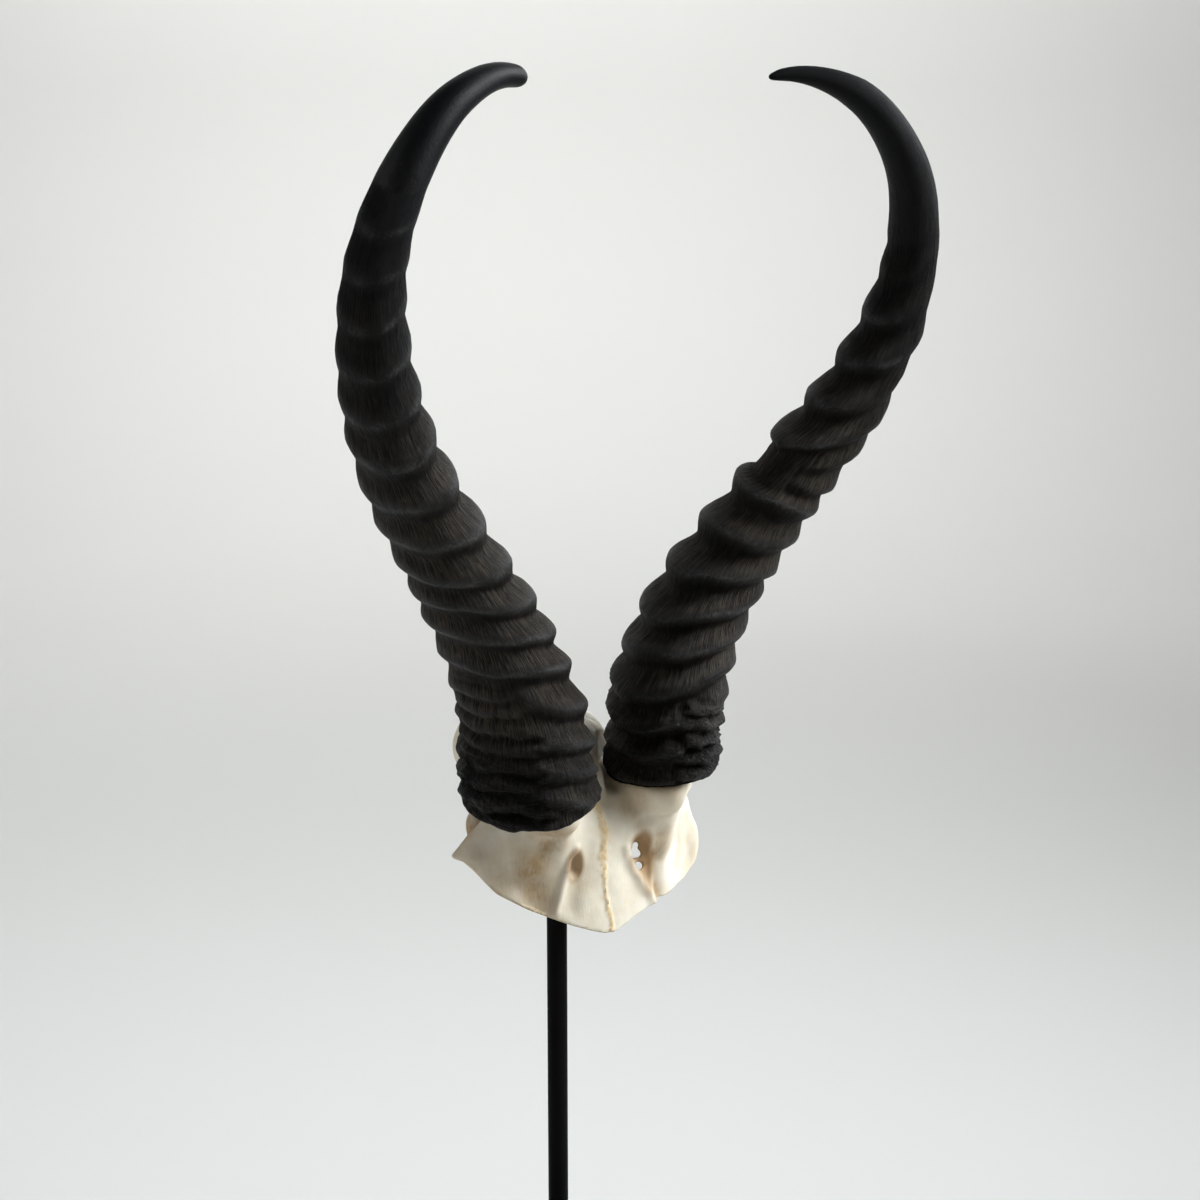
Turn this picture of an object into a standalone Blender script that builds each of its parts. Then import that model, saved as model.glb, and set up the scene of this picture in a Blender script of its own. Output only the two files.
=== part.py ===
"""A pair of antelope horns on their sawn skull cap, held up by a round steel rod on a square base plate.

Run it with blender --background --python part.py, or from the text editor. The origin is the centre of the
base plate's underside, +Z is up, and the forehead faces -Y. Two ringed horn sheaths, hollow at the base, slip
over the bony stubs of one piece of skull. A steel disc under the cap's roof, held by two screws, sits on the rod.
"""

import math

import bmesh
import bpy
import numpy as np
from mathutils import Matrix, Vector

MM = 0.001
GAP = 0.35  # mm, left wherever two pieces touch

# The stand, in mm.
BASE_SIDE = 140
BASE_THICKNESS = 10
BASE_EDGE = 1.2
ROD_RADIUS = 4
ROD_SEAT_DEPTH = 6  # how far the rod stands in the base plate
DISC_RADIUS = 11
DISC_THICKNESS = 3
SCREW_OFFSET = 7.6  # from the rod's axis to each screw, along X
SCREW_RADIUS = 1.5
SCREW_BITE = 5  # length of thread in the bone
SCREW_HEAD_RADIUS = 2.8
SCREW_HEAD_HEIGHT = 1.8
ROUND_SIDES = 24

# The cap has its own frame, in mm: its origin lies midway between the two horn bases.
HORN_BASE_HEIGHT = 265
ROD_BEHIND_HORNS = 28.5
CAP_ORIGIN = Vector((0, -ROD_BEHIND_HORNS, HORN_BASE_HEIGHT))
CAP_TO_WORLD = Matrix.Scale(MM, 4) @ Matrix.Translation(CAP_ORIGIN)
SEAT_HEIGHT = 3.2  # of the spot-faced flat under the cap's roof that bears on the steel disc
SEAT_RADIUS = 12
SEAT_Z = HORN_BASE_HEIGHT + SEAT_HEIGHT
DISC_Z = SEAT_Z - GAP - DISC_THICKNESS  # the disc's underside

# The horn on the +X side: its spine at even lengths, and the mean radius at the same points, in mm. The other
# horn mirrors it. The lead points only steer the spine's two ends.
SPINE = ((29.5, 0, 0), (34, 0, 31), (46, -2, 60), (63, -8, 86), (81, -16, 111), (97, -26, 136), (108, -35, 164),
         (111, -42, 195), (102, -46, 224), (81, -43, 247), (52, -33, 253))
LEAD_IN = (29.5, 0, -31)
LEAD_OUT = (22, -29, 233)
RADII = (25.1, 22.6, 19.9, 17.4, 15.7, 14.0, 12.1, 9.9, 8.0, 5.9, 3.2)
OVAL_AT_BASE = 1.154  # half the depth over the mean radius; the width is less by as much
OVAL_AT_TIP = 1.05
OVAL_TURN = math.radians(-12.5)  # the long axis of the section points a little inwards at the front
RIMS = {"left": (-3.5, 2.8, 4.9),  # height of the sheath's rim, and its drop to the front and the outer side
        "right": (-4, -0.7, -3.4)}
RIM_FADE = 45  # above this length the sections are square to the spine
SOCKET_DEPTH = 20
SOCKET_SHARE = 0.78  # of the outer radius
STUB_CENTRE = (26.5, 1)
STUB_HALF_SIZES = (14.5, 21)  # across and along the section of the bone inside the socket
STUB_SPAN = (-10, 12)

# Ring crests along the spine, in mm. The rings lean up towards the outer side at the base, and back again above.
RING_CRESTS = {"left": (2, 11, 23, 38, 53, 69, 85, 102, 122, 144, 164, 181, 199, 216, 230),
               "right": (0, 10, 22, 36, 50, 65, 80, 96, 113, 130, 148, 166, 184, 201, 216)}
RING_LEAN = ((0, 8), (80, 10), (150, 1), (200, -7), (320, -7))
RING_HEIGHT = ((0, 0.8), (25, 1.2), (60, 1.5), (130, 1.3), (185, 0.8), (240, 0.2), (260, 0), (320, 0))
SIDES = 16
STATIONS_PER_RING = 4

# The bone's lumps: centre and half sizes, in mm. Those under the horns stand on both sides, cut off at the rim.
LUMPS = (((0, 46, -4), (29.5, 36, 20.5)),  # braincase
         ((0, 24, -9), (9, 26, 19)),  # crown between the horns
         ((0, 17, -30), (30, 19, 26)),  # body behind the forehead
         ((-52, 16, -28), (3.5, 2.6, 2.6)),  # spur of the left brow
         ((-41, 22, -21), (4.5, 5, 4.5)),  # stump of the bar behind the left eye
         ((48.5, 14, -44), (9.5, 5.5, 14)))  # rim over the right eye
LUMPS_UNDER_HORNS = (((24.5, 1, -14), (15, 23.5, 26)),  # pedicle
                     ((27, 2, -24), (20, 17, 20)),  # its foot, flowing into the forehead
                     ((42, 12.5, -28), (11, 7, 8)),  # brow
                     ((26, 30, -18), (7, 11, 9)))  # wall behind the eye socket
HOLLOWS = (((0, 46, -10.5), (23.5, 29, 16.5)),  # the brain's chamber
           ((0, 28, -40), (23, 21, 33)),  # its way down, and the space behind the forehead
           ((-56, 23, -55), (25, 25, 24)),  # eye sockets; the saw ran higher through the left one
           ((60, 43, -62), (25, 26, 28)))
PITS = (((-14.5, -9, -34), (3.4, 6, 9)),  # where the brow's vessels come out
        ((14.5, -8, -36), (4, 8, 11)))
FOREHEAD_HALF_WIDTH = 54
FOREHEAD_THICKNESS = (9, 3)  # at the middle and at the sides
FOREHEAD_TOP = (-10, 0.07)  # height at the middle, and how fast it falls beyond FOREHEAD_SHOULDER
FOREHEAD_SHOULDER = 38
FOREHEAD_BOTTOM = -68
SAW_SLOPE = 0.55  # rise to the back, from the lowest point of the forehead
NOSE_POINT = (-9, -64)  # y and z of that point
NOSE_EDGE_SLOPES = (-0.42, 0.25)  # rise of the forehead's lower edge to the left and right
BODY_VOXEL = 1.8
CUT_VOXEL = 1.4
BONE_TRIANGLES = 2500


def material(name, colour, roughness, metallic=0.0):
    """A Principled material with these plain values."""
    made = bpy.data.materials.new(name)
    made.use_nodes = True
    shader = made.node_tree.nodes["Principled BSDF"]
    shader.inputs["Base Color"].default_value = (*colour, 1)
    shader.inputs["Roughness"].default_value = roughness
    shader.inputs["Metallic"].default_value = metallic
    return made


def add_object(name, bm, collection, finish=None):
    """Turns a bmesh in mm, in the cap's frame or the world's, into a named object of the collection."""
    bmesh.ops.recalc_face_normals(bm, faces=bm.faces)
    mesh = bpy.data.meshes.new(name)
    bm.to_mesh(mesh)
    bm.free()
    if finish:
        mesh.materials.append(finish)
    made = bpy.data.objects.new(name, mesh)
    collection.objects.link(made)
    return made


def add_cutter(name, bm, collection):
    """Adds an object that only shapes others."""
    made = add_object(name, bm, collection)
    made.hide_render = True
    made.display_type = "WIRE"
    return made


def cut(target, *cutters):
    """Subtracts each cutter from the target with a Boolean modifier."""
    for cutter in cutters:
        boolean = target.modifiers.new("cut_" + cutter.name, "BOOLEAN")
        boolean.operation = "DIFFERENCE"
        boolean.solver = "EXACT"
        boolean.object = cutter


def shade(made, angle=40):
    """Shades an object's own mesh smooth, with sharp edges where faces meet at more than the angle."""
    made.data.shade_smooth()
    made.data.set_sharp_from_angle(angle=math.radians(angle))


def apply_modifiers(made):
    """Replaces an object's mesh with its evaluated one."""
    graph = bpy.context.evaluated_depsgraph_get()
    mesh = bpy.data.meshes.new_from_object(made.evaluated_get(graph))
    made.modifiers.clear()
    made.data = mesh


def cylinder(bm, x, radius, low, high):
    """Adds a closed upright cylinder between two heights, in mm, in the world, at this X on the plane Y = 0."""
    place = Matrix.Translation(Vector((x, 0, (low + high) / 2)) * MM)
    bmesh.ops.create_cone(bm, cap_ends=True, segments=ROUND_SIDES, radius1=radius * MM, radius2=radius * MM,
                          depth=(high - low) * MM, matrix=place)


def ellipsoid(bm, centre, radii, below=None):
    """Adds a closed ellipsoid, in mm, in the cap's frame, cut off flat above the plane if one is given."""
    lump = bmesh.new()
    place = Matrix.Translation(Vector(centre)) @ Matrix.Diagonal((*radii, 1))
    bmesh.ops.create_icosphere(lump, subdivisions=4, radius=1, matrix=place)
    if below:
        geometry = lump.verts[:] + lump.edges[:] + lump.faces[:]
        bmesh.ops.bisect_plane(lump, geom=geometry, plane_co=below[0], plane_no=below[1], clear_outer=True)
        bmesh.ops.holes_fill(lump, edges=lump.edges[:], sides=0)
    merge_in(bm, lump)


def merge_in(bm, other):
    """Moves a bmesh from the cap's frame in mm to the world, and adds it to another."""
    bmesh.ops.recalc_face_normals(other, faces=other.faces)
    bmesh.ops.transform(other, matrix=CAP_TO_WORLD, verts=other.verts)
    mesh = bpy.data.meshes.new("passing")
    other.to_mesh(mesh)
    other.free()
    bm.from_mesh(mesh)
    bpy.data.meshes.remove(mesh)


# ---- horn sheaths


class Spine:
    """A smooth curve through the spine's points, read by its length in mm; it runs straight on below zero."""

    def __init__(self):
        self.points = [Vector(p) for p in (LEAD_IN, *SPINE, LEAD_OUT)]
        samples = [self.at(i / 200) for i in range(201)]
        steps = [0.0] + [(b - a).length for a, b in zip(samples, samples[1:])]
        self.lengths = np.cumsum(steps)
        self.length = float(self.lengths[-1])

    def at(self, share):
        """The point at a share of the curve, by Catmull-Rom through its four nearest points."""
        spans = len(self.points) - 3
        k = min(int(share * spans), spans - 1)
        t = share * spans - k
        a, b, c, d = self.points[k:k + 4]
        return 0.5 * (2 * b + (c - a) * t + (2 * a - 5 * b + 4 * c - d) * t**2 + (3 * b - a - 3 * c + d) * t**3)

    def share(self, s):
        """The curve's share at a length s."""
        return float(np.interp(s, self.lengths, np.linspace(0, 1, len(self.lengths))))

    def frame(self, s):
        """The place, and the front and outer directions, at a length s."""
        u = self.share(s)
        low, high = max(u - 0.01, 0.0), min(u + 0.01, 1.0)
        tangent = (self.at(high) - self.at(low)).normalized()
        front = Vector((0, -1, 0))
        front = (front - tangent * front.dot(tangent)).normalized()
        past_an_end = min(s, 0.0) + max(s - self.length, 0.0)
        return self.at(u) + tangent * past_an_end, front, tangent.cross(front)


def from_pairs(pairs, at):
    """Straight-line interpolation through (position, value) pairs."""
    return float(np.interp(at, [p for p, _ in pairs], [v for _, v in pairs]))


def rim_height(side, turn):
    """How far along the spine the sheath's rim lies, at a turn round the section from its front."""
    level, front_drop, side_drop = RIMS[side]
    return level - front_drop * math.cos(turn) - side_drop * math.sin(turn)


def ring_swell(side, s, turn):
    """How far the rings stand out from the bare section, in mm, at a length s and a turn round it."""
    lean = from_pairs(RING_LEAN, s) * math.sin(turn) - 1.5 * math.cos(turn)
    crests = RING_CRESTS[side]
    phase = float(np.interp(s - lean, crests, range(len(crests)), left=-0.5, right=len(crests) - 0.5))
    strength = 1.05 - 0.25 * math.sin(turn)
    return from_pairs(RING_HEIGHT, s) * strength * math.cos(2 * math.pi * phase)


def section_point(spine, side, s, turn, share, grow):
    """A point of the horn's surface, or of a smaller section inside it when share is under 1."""
    place, front, outer = spine.frame(s)
    u = spine.share(s)
    mean = float(np.interp(u, np.linspace(0, 1, len(RADII)), RADII)) * share
    oval = OVAL_AT_BASE + (OVAL_AT_TIP - OVAL_AT_BASE) * u
    swell = grow + (ring_swell(side, s, turn) if share == 1 else 0)
    forward = math.cos(turn) * (mean * oval + swell)
    sideways = math.sin(turn) * (mean / oval + swell)
    cos_t, sin_t = math.cos(OVAL_TURN), math.sin(OVAL_TURN)
    point = place + front * (forward * cos_t - sideways * sin_t) + outer * (forward * sin_t + sideways * cos_t)
    return Vector((-point.x if side == "left" else point.x, point.y, point.z))


def sheath_stations(spine, side):
    """(length from the rim, share of the radius) from the socket's floor, out round the rim and up to the tip."""
    top_crest = RING_CRESTS[side][-1]
    inside = [(SOCKET_DEPTH, 0.3), (SOCKET_DEPTH, SOCKET_SHARE - 0.1), (SOCKET_DEPTH - 4, SOCKET_SHARE - 0.02),
              (SOCKET_DEPTH / 2, SOCKET_SHARE), (0, SOCKET_SHARE + 0.02), (0, 0.96)]
    ringed = np.linspace(1.5, top_crest + 12, STATIONS_PER_RING * len(RING_CRESTS[side]) + 3)
    smooth = np.linspace(top_crest + 12, spine.length - 3, 10)[1:]
    tip = [(spine.length - 1, 0.93), (spine.length + 1, 0.75), (spine.length + 2.2, 0.42)]
    return inside + [(s, 1) for s in (*ringed, *smooth)] + tip


def make_sheath(side, name, collection, finish=None, grow=0.0):
    """One horn sheath: a grid rolled into a tube, from the socket's floor round the rim and up to the tip."""
    spine = Spine()
    stations = sheath_stations(spine, side)
    bm = bmesh.new()
    bmesh.ops.create_grid(bm, x_segments=SIDES, y_segments=len(stations) - 1, size=1)
    for vert in bm.verts:
        turn = math.pi * (vert.co.x + 1)
        s, share = stations[round((vert.co.y + 1) / 2 * (len(stations) - 1))]
        along = s + rim_height(side, turn) * max(0.0, 1 - s / RIM_FADE)
        inside = share < 0.9 and s <= SOCKET_DEPTH
        if grow:  # a swollen copy cuts clearance: its rim is lower, its floor higher, its socket narrower
            along += -grow if s < 1 else grow if inside and s == SOCKET_DEPTH else 0
        point = section_point(spine, side, along, turn, share, -grow if inside else grow)
        vert.co = (point + CAP_ORIGIN) * MM
    bmesh.ops.remove_doubles(bm, verts=bm.verts, dist=1e-7)
    ends = bmesh.ops.holes_fill(bm, edges=[e for e in bm.edges if e.is_boundary], sides=SIDES)["faces"]
    bmesh.ops.poke(bm, faces=ends)
    if not finish:
        return add_cutter(name, bm, collection)
    made = add_object(name, bm, collection, finish)
    shade(made)
    return made


# ---- skull cap


def rim_plane(sign):
    """The plane of a sheath's rim: a point and the upward normal, in the cap's frame."""
    level, front_drop, side_drop = RIMS["left" if sign < 0 else "right"]
    front, outer = front_drop / (RADII[0] * OVAL_AT_BASE), side_drop / (RADII[0] / OVAL_AT_BASE)
    cos_t, sin_t = math.cos(OVAL_TURN), math.sin(OVAL_TURN)
    normal = (sign * (outer * cos_t + front * sin_t), outer * sin_t - front * cos_t, 1)
    return (SPINE[0][0] * sign, SPINE[0][1], level - GAP), normal


def forehead_plate(bm):
    """Adds the frontal bones: a plate curved round the front, nearly upright, thinner towards the sides."""
    plate = bmesh.new()
    bmesh.ops.create_grid(plate, x_segments=30, y_segments=18, size=1)
    for vert in plate.verts:
        x = vert.co.x * FOREHEAD_HALF_WIDTH
        top = FOREHEAD_TOP[0] - FOREHEAD_TOP[1] * max(abs(x) - FOREHEAD_SHOULDER, 0) ** 2
        z = top + (FOREHEAD_BOTTOM - top) * (vert.co.y + 1) / 2
        vert.co = (x, -5.5 + 0.0068 * x**2 - 0.09 * (-z - 25) + 0.04 * max(z + 22, 0) ** 2, z)
    grown = bmesh.ops.extrude_face_region(plate, geom=plate.faces[:])["geom"]
    middle, edge = FOREHEAD_THICKNESS
    for vert in (v for v in grown if isinstance(v, bmesh.types.BMVert)):
        vert.co.y += middle + (edge - middle) * (vert.co.x / FOREHEAD_HALF_WIDTH) ** 2
    merge_in(bm, plate)


def stub_column(bm, sign):
    """Adds the bony core's end, an oval column up into the sheath's socket."""
    column = bmesh.new()
    low, high = STUB_SPAN
    place = Matrix.Translation((STUB_CENTRE[0] * sign, STUB_CENTRE[1], (low + high) / 2))
    size = Matrix.Diagonal((*STUB_HALF_SIZES, high - low, 1))
    turn = Matrix.Rotation(-OVAL_TURN * sign, 4, "Z")
    bmesh.ops.create_cone(column, cap_ends=True, segments=40, radius1=1, radius2=0.9, depth=1,
                          matrix=place @ turn @ size)
    merge_in(bm, column)


def saw_block(bm, turn_axis, slope, side_sign=0):
    """Adds a block below the plane through the nose point that rises by the slope along Y, or along X."""
    block = bmesh.new()
    size = 200
    tilt = Matrix.Rotation(math.atan(slope), 4, turn_axis)
    drop = Matrix.Translation((side_sign * size / 2, 0, -size / 2))
    scale = Matrix.Diagonal((size if side_sign else 2 * size, 2 * size, size, 1))
    bmesh.ops.create_cube(block, size=1, matrix=Matrix.Translation((0, *NOSE_POINT)) @ tilt @ drop @ scale)
    merge_in(bm, block)


def modifier(target, kind, **settings):
    """Adds a modifier of the kind, with its settings."""
    made = target.modifiers.new(kind.lower(), kind)
    for name, value in settings.items():
        setattr(made, name, value)


def bone_body(name, collection, finish):
    """The solid cap before it is hollowed: lumps fused, and eased where they meet."""
    bm = bmesh.new()
    for centre, radii in LUMPS:
        ellipsoid(bm, centre, radii)
    for sign in (-1, 1):
        for (x, y, z), radii in LUMPS_UNDER_HORNS:
            ellipsoid(bm, (x * sign, y, z), radii, below=rim_plane(sign))
        stub_column(bm, sign)
    forehead_plate(bm)
    body = add_object(name, bm, collection, finish)
    modifier(body, "REMESH", mode="VOXEL", voxel_size=BODY_VOXEL * MM)
    modifier(body, "SMOOTH", factor=0.5, iterations=6)
    return body


def bone_openings(collection):
    """What the cap loses: the brain's chamber, the eye sockets, the pits, and all below the saw's cuts."""
    bm = bmesh.new()
    for centre, radii in (*HOLLOWS, *PITS):
        ellipsoid(bm, centre, radii)
    saw_block(bm, "X", SAW_SLOPE)
    for sign, slope in zip((-1, 1), NOSE_EDGE_SLOPES):
        saw_block(bm, "Y", -slope, sign)
    openings = add_cutter("cut_openings", bm, collection)
    modifier(openings, "REMESH", mode="VOXEL", voxel_size=BODY_VOXEL * MM)
    return openings


def drillings(collection):
    """The spot-faced seat for the disc, opened downwards, and the two screw holes above it."""
    seat = bmesh.new()
    cylinder(seat, 0, SEAT_RADIUS, SEAT_Z - 30, SEAT_Z)
    holes = []
    for sign in (-1, 1):
        hole = bmesh.new()
        cylinder(hole, sign * SCREW_OFFSET, SCREW_RADIUS + GAP, SEAT_Z - 1, SEAT_Z + SCREW_BITE + GAP)
        holes.append(add_cutter("cut_screw_hole", hole, collection))
    return [add_cutter("cut_seat", seat, collection), *holes]


def make_skull(collection, cutters, finish):
    """The cap: a fused body hollowed and sawn, thinned out, then fitted to the sheaths, disc and screws."""
    skull = bone_body("skull_cap", collection, finish)
    cut(skull, bone_openings(cutters))
    modifier(skull, "REMESH", mode="VOXEL", voxel_size=CUT_VOXEL * MM)
    modifier(skull, "SMOOTH", factor=0.5, iterations=2)
    apply_modifiers(skull)
    quads = len(skull.data.polygons)
    modifier(skull, "DECIMATE", ratio=BONE_TRIANGLES / (2 * quads))
    for side in RIMS:
        cut(skull, make_sheath(side, "cut_sheath_" + side, cutters, grow=GAP + 0.2))
    cut(skull, *drillings(cutters))
    apply_modifiers(skull)
    shade(skull)
    return skull


# ---- stand


def turned(name, x, profile, collection, finish):
    """A turned piece: a profile of (radius, height) points in mm, from the top down, swept about the axis at X."""
    bm = bmesh.new()
    points = [bm.verts.new((radius * MM, 0, height * MM)) for radius, height in profile]
    for a, b in zip(points, points[1:]):
        bm.edges.new((a, b))
    made = add_object(name, bm, collection, finish)
    made.location.x = x * MM
    modifier(made, "SCREW", steps=ROUND_SIDES, render_steps=ROUND_SIDES, use_merge_vertices=True,
             merge_threshold=0.00001)
    return made


def make_screw(name, x, collection, finish):
    """A pan-head screw, driven up through the disc into the bone."""
    top, under_disc = SEAT_Z + SCREW_BITE, DISC_Z - GAP
    profile = [(0, top), (0.4, top), (SCREW_RADIUS, top - 1.6), (SCREW_RADIUS, under_disc),
               (SCREW_HEAD_RADIUS, under_disc), (SCREW_HEAD_RADIUS, under_disc - 0.9),
               (SCREW_HEAD_RADIUS - 0.9, under_disc - SCREW_HEAD_HEIGHT), (0, under_disc - SCREW_HEAD_HEIGHT)]
    return turned(name, x, profile, collection, finish)


def make_disc(collection, cutters, finish):
    """The steel disc under the cap's roof, with its two screw holes."""
    bm = bmesh.new()
    cylinder(bm, 0, DISC_RADIUS, DISC_Z, DISC_Z + DISC_THICKNESS)
    disc = add_object("fixing_disc", bm, collection, finish)
    for sign in (-1, 1):
        hole = bmesh.new()
        cylinder(hole, sign * SCREW_OFFSET, SCREW_RADIUS + GAP, DISC_Z - 1, DISC_Z + DISC_THICKNESS + 1)
        cut(disc, add_cutter("cut_disc_hole", hole, cutters))
    shade(disc)
    return disc


def make_base(collection, cutters, finish):
    """The square base plate, with eased edges and a blind hole for the rod."""
    bm = bmesh.new()
    place = Matrix.Translation((0, 0, BASE_THICKNESS / 2 * MM))
    size = Matrix.Diagonal((BASE_SIDE * MM, BASE_SIDE * MM, BASE_THICKNESS * MM, 1))
    bmesh.ops.create_cube(bm, size=1, matrix=place @ size)
    bmesh.ops.bevel(bm, geom=bm.edges[:], offset=BASE_EDGE * MM, segments=2, profile=0.5, affect="EDGES")
    base = add_object("base_plate", bm, collection, finish)
    hole = bmesh.new()
    cylinder(hole, 0, ROD_RADIUS + GAP, BASE_THICKNESS - ROD_SEAT_DEPTH, BASE_THICKNESS + 1)
    cut(base, add_cutter("cut_rod_seat", hole, cutters))
    return base


def main():
    """Builds the horns, the cap and the stand."""
    for old in list(bpy.data.objects):
        bpy.data.objects.remove(old)
    pieces = bpy.data.collections.new("antelope_horns_on_stand")
    cutters = bpy.data.collections.new("cutters")
    for collection in (pieces, cutters):
        bpy.context.scene.collection.children.link(collection)
    horn = material("horn", (0.018, 0.015, 0.013), 0.5)
    bone = material("bone", (0.78, 0.7, 0.54), 0.55)
    steel = material("black_steel", (0.01, 0.01, 0.011), 0.45)
    zinc = material("zinc_screw", (0.55, 0.55, 0.54), 0.35, 1.0)

    for side in RIMS:
        make_sheath(side, "horn_" + side, pieces, horn)
    make_skull(pieces, cutters, bone)
    make_disc(pieces, cutters, steel)
    for name, sign in (("fixing_screw_left", -1), ("fixing_screw_right", 1)):
        make_screw(name, sign * SCREW_OFFSET, pieces, zinc)
    rod_span = (DISC_Z - GAP, BASE_THICKNESS - ROD_SEAT_DEPTH + GAP)
    edge = 0.5
    turned("rod", 0, [(0, rod_span[0]), (ROD_RADIUS - edge, rod_span[0]), (ROD_RADIUS, rod_span[0] - edge),
                      (ROD_RADIUS, rod_span[1] + edge), (ROD_RADIUS - edge, rod_span[1]), (0, rod_span[1])],
           pieces, steel)
    make_base(pieces, cutters, steel)


main()
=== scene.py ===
"""Looks for a pair of ringed antelope horns on their sawn skull cap, on a black steel rod and plate."""

import logging
import math
from collections.abc import Sequence
from dataclasses import dataclass
from enum import Enum

import bmesh
import bpy
import numpy as np
from mathutils import Matrix, Vector, noise


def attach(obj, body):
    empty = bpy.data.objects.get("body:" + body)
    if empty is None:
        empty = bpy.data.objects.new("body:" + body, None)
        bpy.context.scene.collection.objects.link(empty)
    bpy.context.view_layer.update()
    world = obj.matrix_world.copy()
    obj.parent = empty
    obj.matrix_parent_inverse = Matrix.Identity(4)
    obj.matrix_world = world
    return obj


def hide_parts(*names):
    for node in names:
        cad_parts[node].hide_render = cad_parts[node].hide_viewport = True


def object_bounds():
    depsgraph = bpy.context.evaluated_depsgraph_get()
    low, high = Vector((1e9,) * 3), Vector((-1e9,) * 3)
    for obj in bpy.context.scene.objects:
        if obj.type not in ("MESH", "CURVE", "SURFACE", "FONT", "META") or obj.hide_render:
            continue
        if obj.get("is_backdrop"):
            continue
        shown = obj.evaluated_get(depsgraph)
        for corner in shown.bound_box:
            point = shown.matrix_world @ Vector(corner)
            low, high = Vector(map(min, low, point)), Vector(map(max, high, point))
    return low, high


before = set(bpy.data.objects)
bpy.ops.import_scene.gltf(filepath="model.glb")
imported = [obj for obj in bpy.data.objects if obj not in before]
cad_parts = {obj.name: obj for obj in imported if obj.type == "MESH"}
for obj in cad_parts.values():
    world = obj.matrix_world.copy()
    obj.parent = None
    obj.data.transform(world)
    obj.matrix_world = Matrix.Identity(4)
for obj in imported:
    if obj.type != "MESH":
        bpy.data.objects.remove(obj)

Socket = bpy.types.NodeSocket
Pair = tuple[float, float]
Triple = tuple[float, float, float]
Colour = tuple[float, float, float]

LOG = logging.getLogger("antelope_horns")
CAD_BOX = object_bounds()
MM = 0.001
GAP = 0.35  # mm, between pieces that touch
BODY = "root"

# The cap's own frame, in mm: its origin lies midway between the two horn bases.
CAP_ORIGIN = Vector((0, -28.5, 265))
CAP_TO_WORLD = Matrix.Scale(MM, 4) @ Matrix.Translation(CAP_ORIGIN)
TO_METRES = Matrix.Scale(MM, 4)


class Side(Enum):
    """Which horn: the animal's face looks along -Y, and RIGHT is the horn on the +X side."""

    LEFT = "left"
    RIGHT = "right"

    @property
    def sign(self) -> int:
        """-1 on the -X side, and 1 on the other."""
        return -1 if self is Side.LEFT else 1


class Slot(Enum):
    """The record's material slots."""

    HORN = "horn_sheath"
    BONE = "bone"
    BLACK_STEEL = "black_steel"
    SCREW_STEEL = "screw_steel"


# ---- curves, noise and meshes


def smooth_step(low: float, high: float, value: np.ndarray) -> np.ndarray:
    """A soft step from 0 at low to 1 at high."""
    t = np.clip((value - low) / (high - low), 0, 1)
    return t * t * (3 - 2 * t)


def noise_field(points: np.ndarray, scale: float, seed: float = 0.0) -> np.ndarray:
    """Smooth noise from about -1 to 1 at each point.

    Args:
        points: One row per point.
        scale: Length of a feature, in the points' units.
        seed: Moves the pattern to another part of the noise.

    Returns:
        One value per point.
    """
    moved = points / scale + seed
    return np.array([noise.noise(p) for p in moved.tolist()])


def distance_to_path(points: np.ndarray, path: Sequence[Sequence[float]]) -> tuple[np.ndarray, np.ndarray]:
    """How far points lie from a path of straight runs.

    Args:
        points: One row per point.
        path: The path's corners, with as many numbers each as a point has.

    Returns:
        The distance of each point, and how far along the path its nearest place is, from 0 to 1.
    """
    corners = np.array(path, float)
    best = np.full(len(points), np.inf)
    share = np.zeros(len(points))
    runs = len(corners) - 1
    for index, (a, b) in enumerate(zip(corners, corners[1:])):
        run = b - a
        t = np.clip((points - a) @ run / (run @ run), 0, 1)
        gap = np.linalg.norm(points - a - t[:, None] * run, axis=1)
        nearer = gap < best
        best[nearer] = gap[nearer]
        share[nearer] = (index + t[nearer]) / runs
    return best, share


def coordinates(mesh: bpy.types.Mesh) -> np.ndarray:
    """The mesh's vertices, one row each."""
    flat = np.empty(len(mesh.vertices) * 3)
    mesh.vertices.foreach_get("co", flat)
    return flat.reshape(-1, 3)


def normals(mesh: bpy.types.Mesh) -> np.ndarray:
    """The mesh's vertex normals, one row each."""
    flat = np.empty(len(mesh.vertices) * 3)
    mesh.vertices.foreach_get("normal", flat)
    return flat.reshape(-1, 3)


def paint(mesh: bpy.types.Mesh, name: str, values: np.ndarray) -> None:
    """Stores one number per vertex under a name that a material reads.

    Args:
        mesh: The mesh to paint.
        name: The attribute's name.
        values: One number per vertex.
    """
    layer = mesh.attributes.new(name, "FLOAT", "POINT")
    layer.data.foreach_set("value", np.clip(values, 0, 1).astype(np.float32))


def vertices_of(geometry: Sequence[object]) -> list[bmesh.types.BMVert]:
    """The vertices among what a bmesh operator returned."""
    return [item for item in geometry if isinstance(item, bmesh.types.BMVert)]


def to_mesh(bm: bmesh.types.BMesh, name: str) -> bpy.types.Mesh:
    """Closes off a bmesh: normals recalculated, written to a new mesh, and freed."""
    bmesh.ops.recalc_face_normals(bm, faces=bm.faces)
    mesh = bpy.data.meshes.new(name)
    bm.to_mesh(mesh)
    bm.free()
    return mesh


def merge(bm: bmesh.types.BMesh, other: bmesh.types.BMesh) -> None:
    """Moves the other bmesh's geometry into the first."""
    mesh = to_mesh(other, "passing")
    bm.from_mesh(mesh)
    bpy.data.meshes.remove(mesh)


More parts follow.
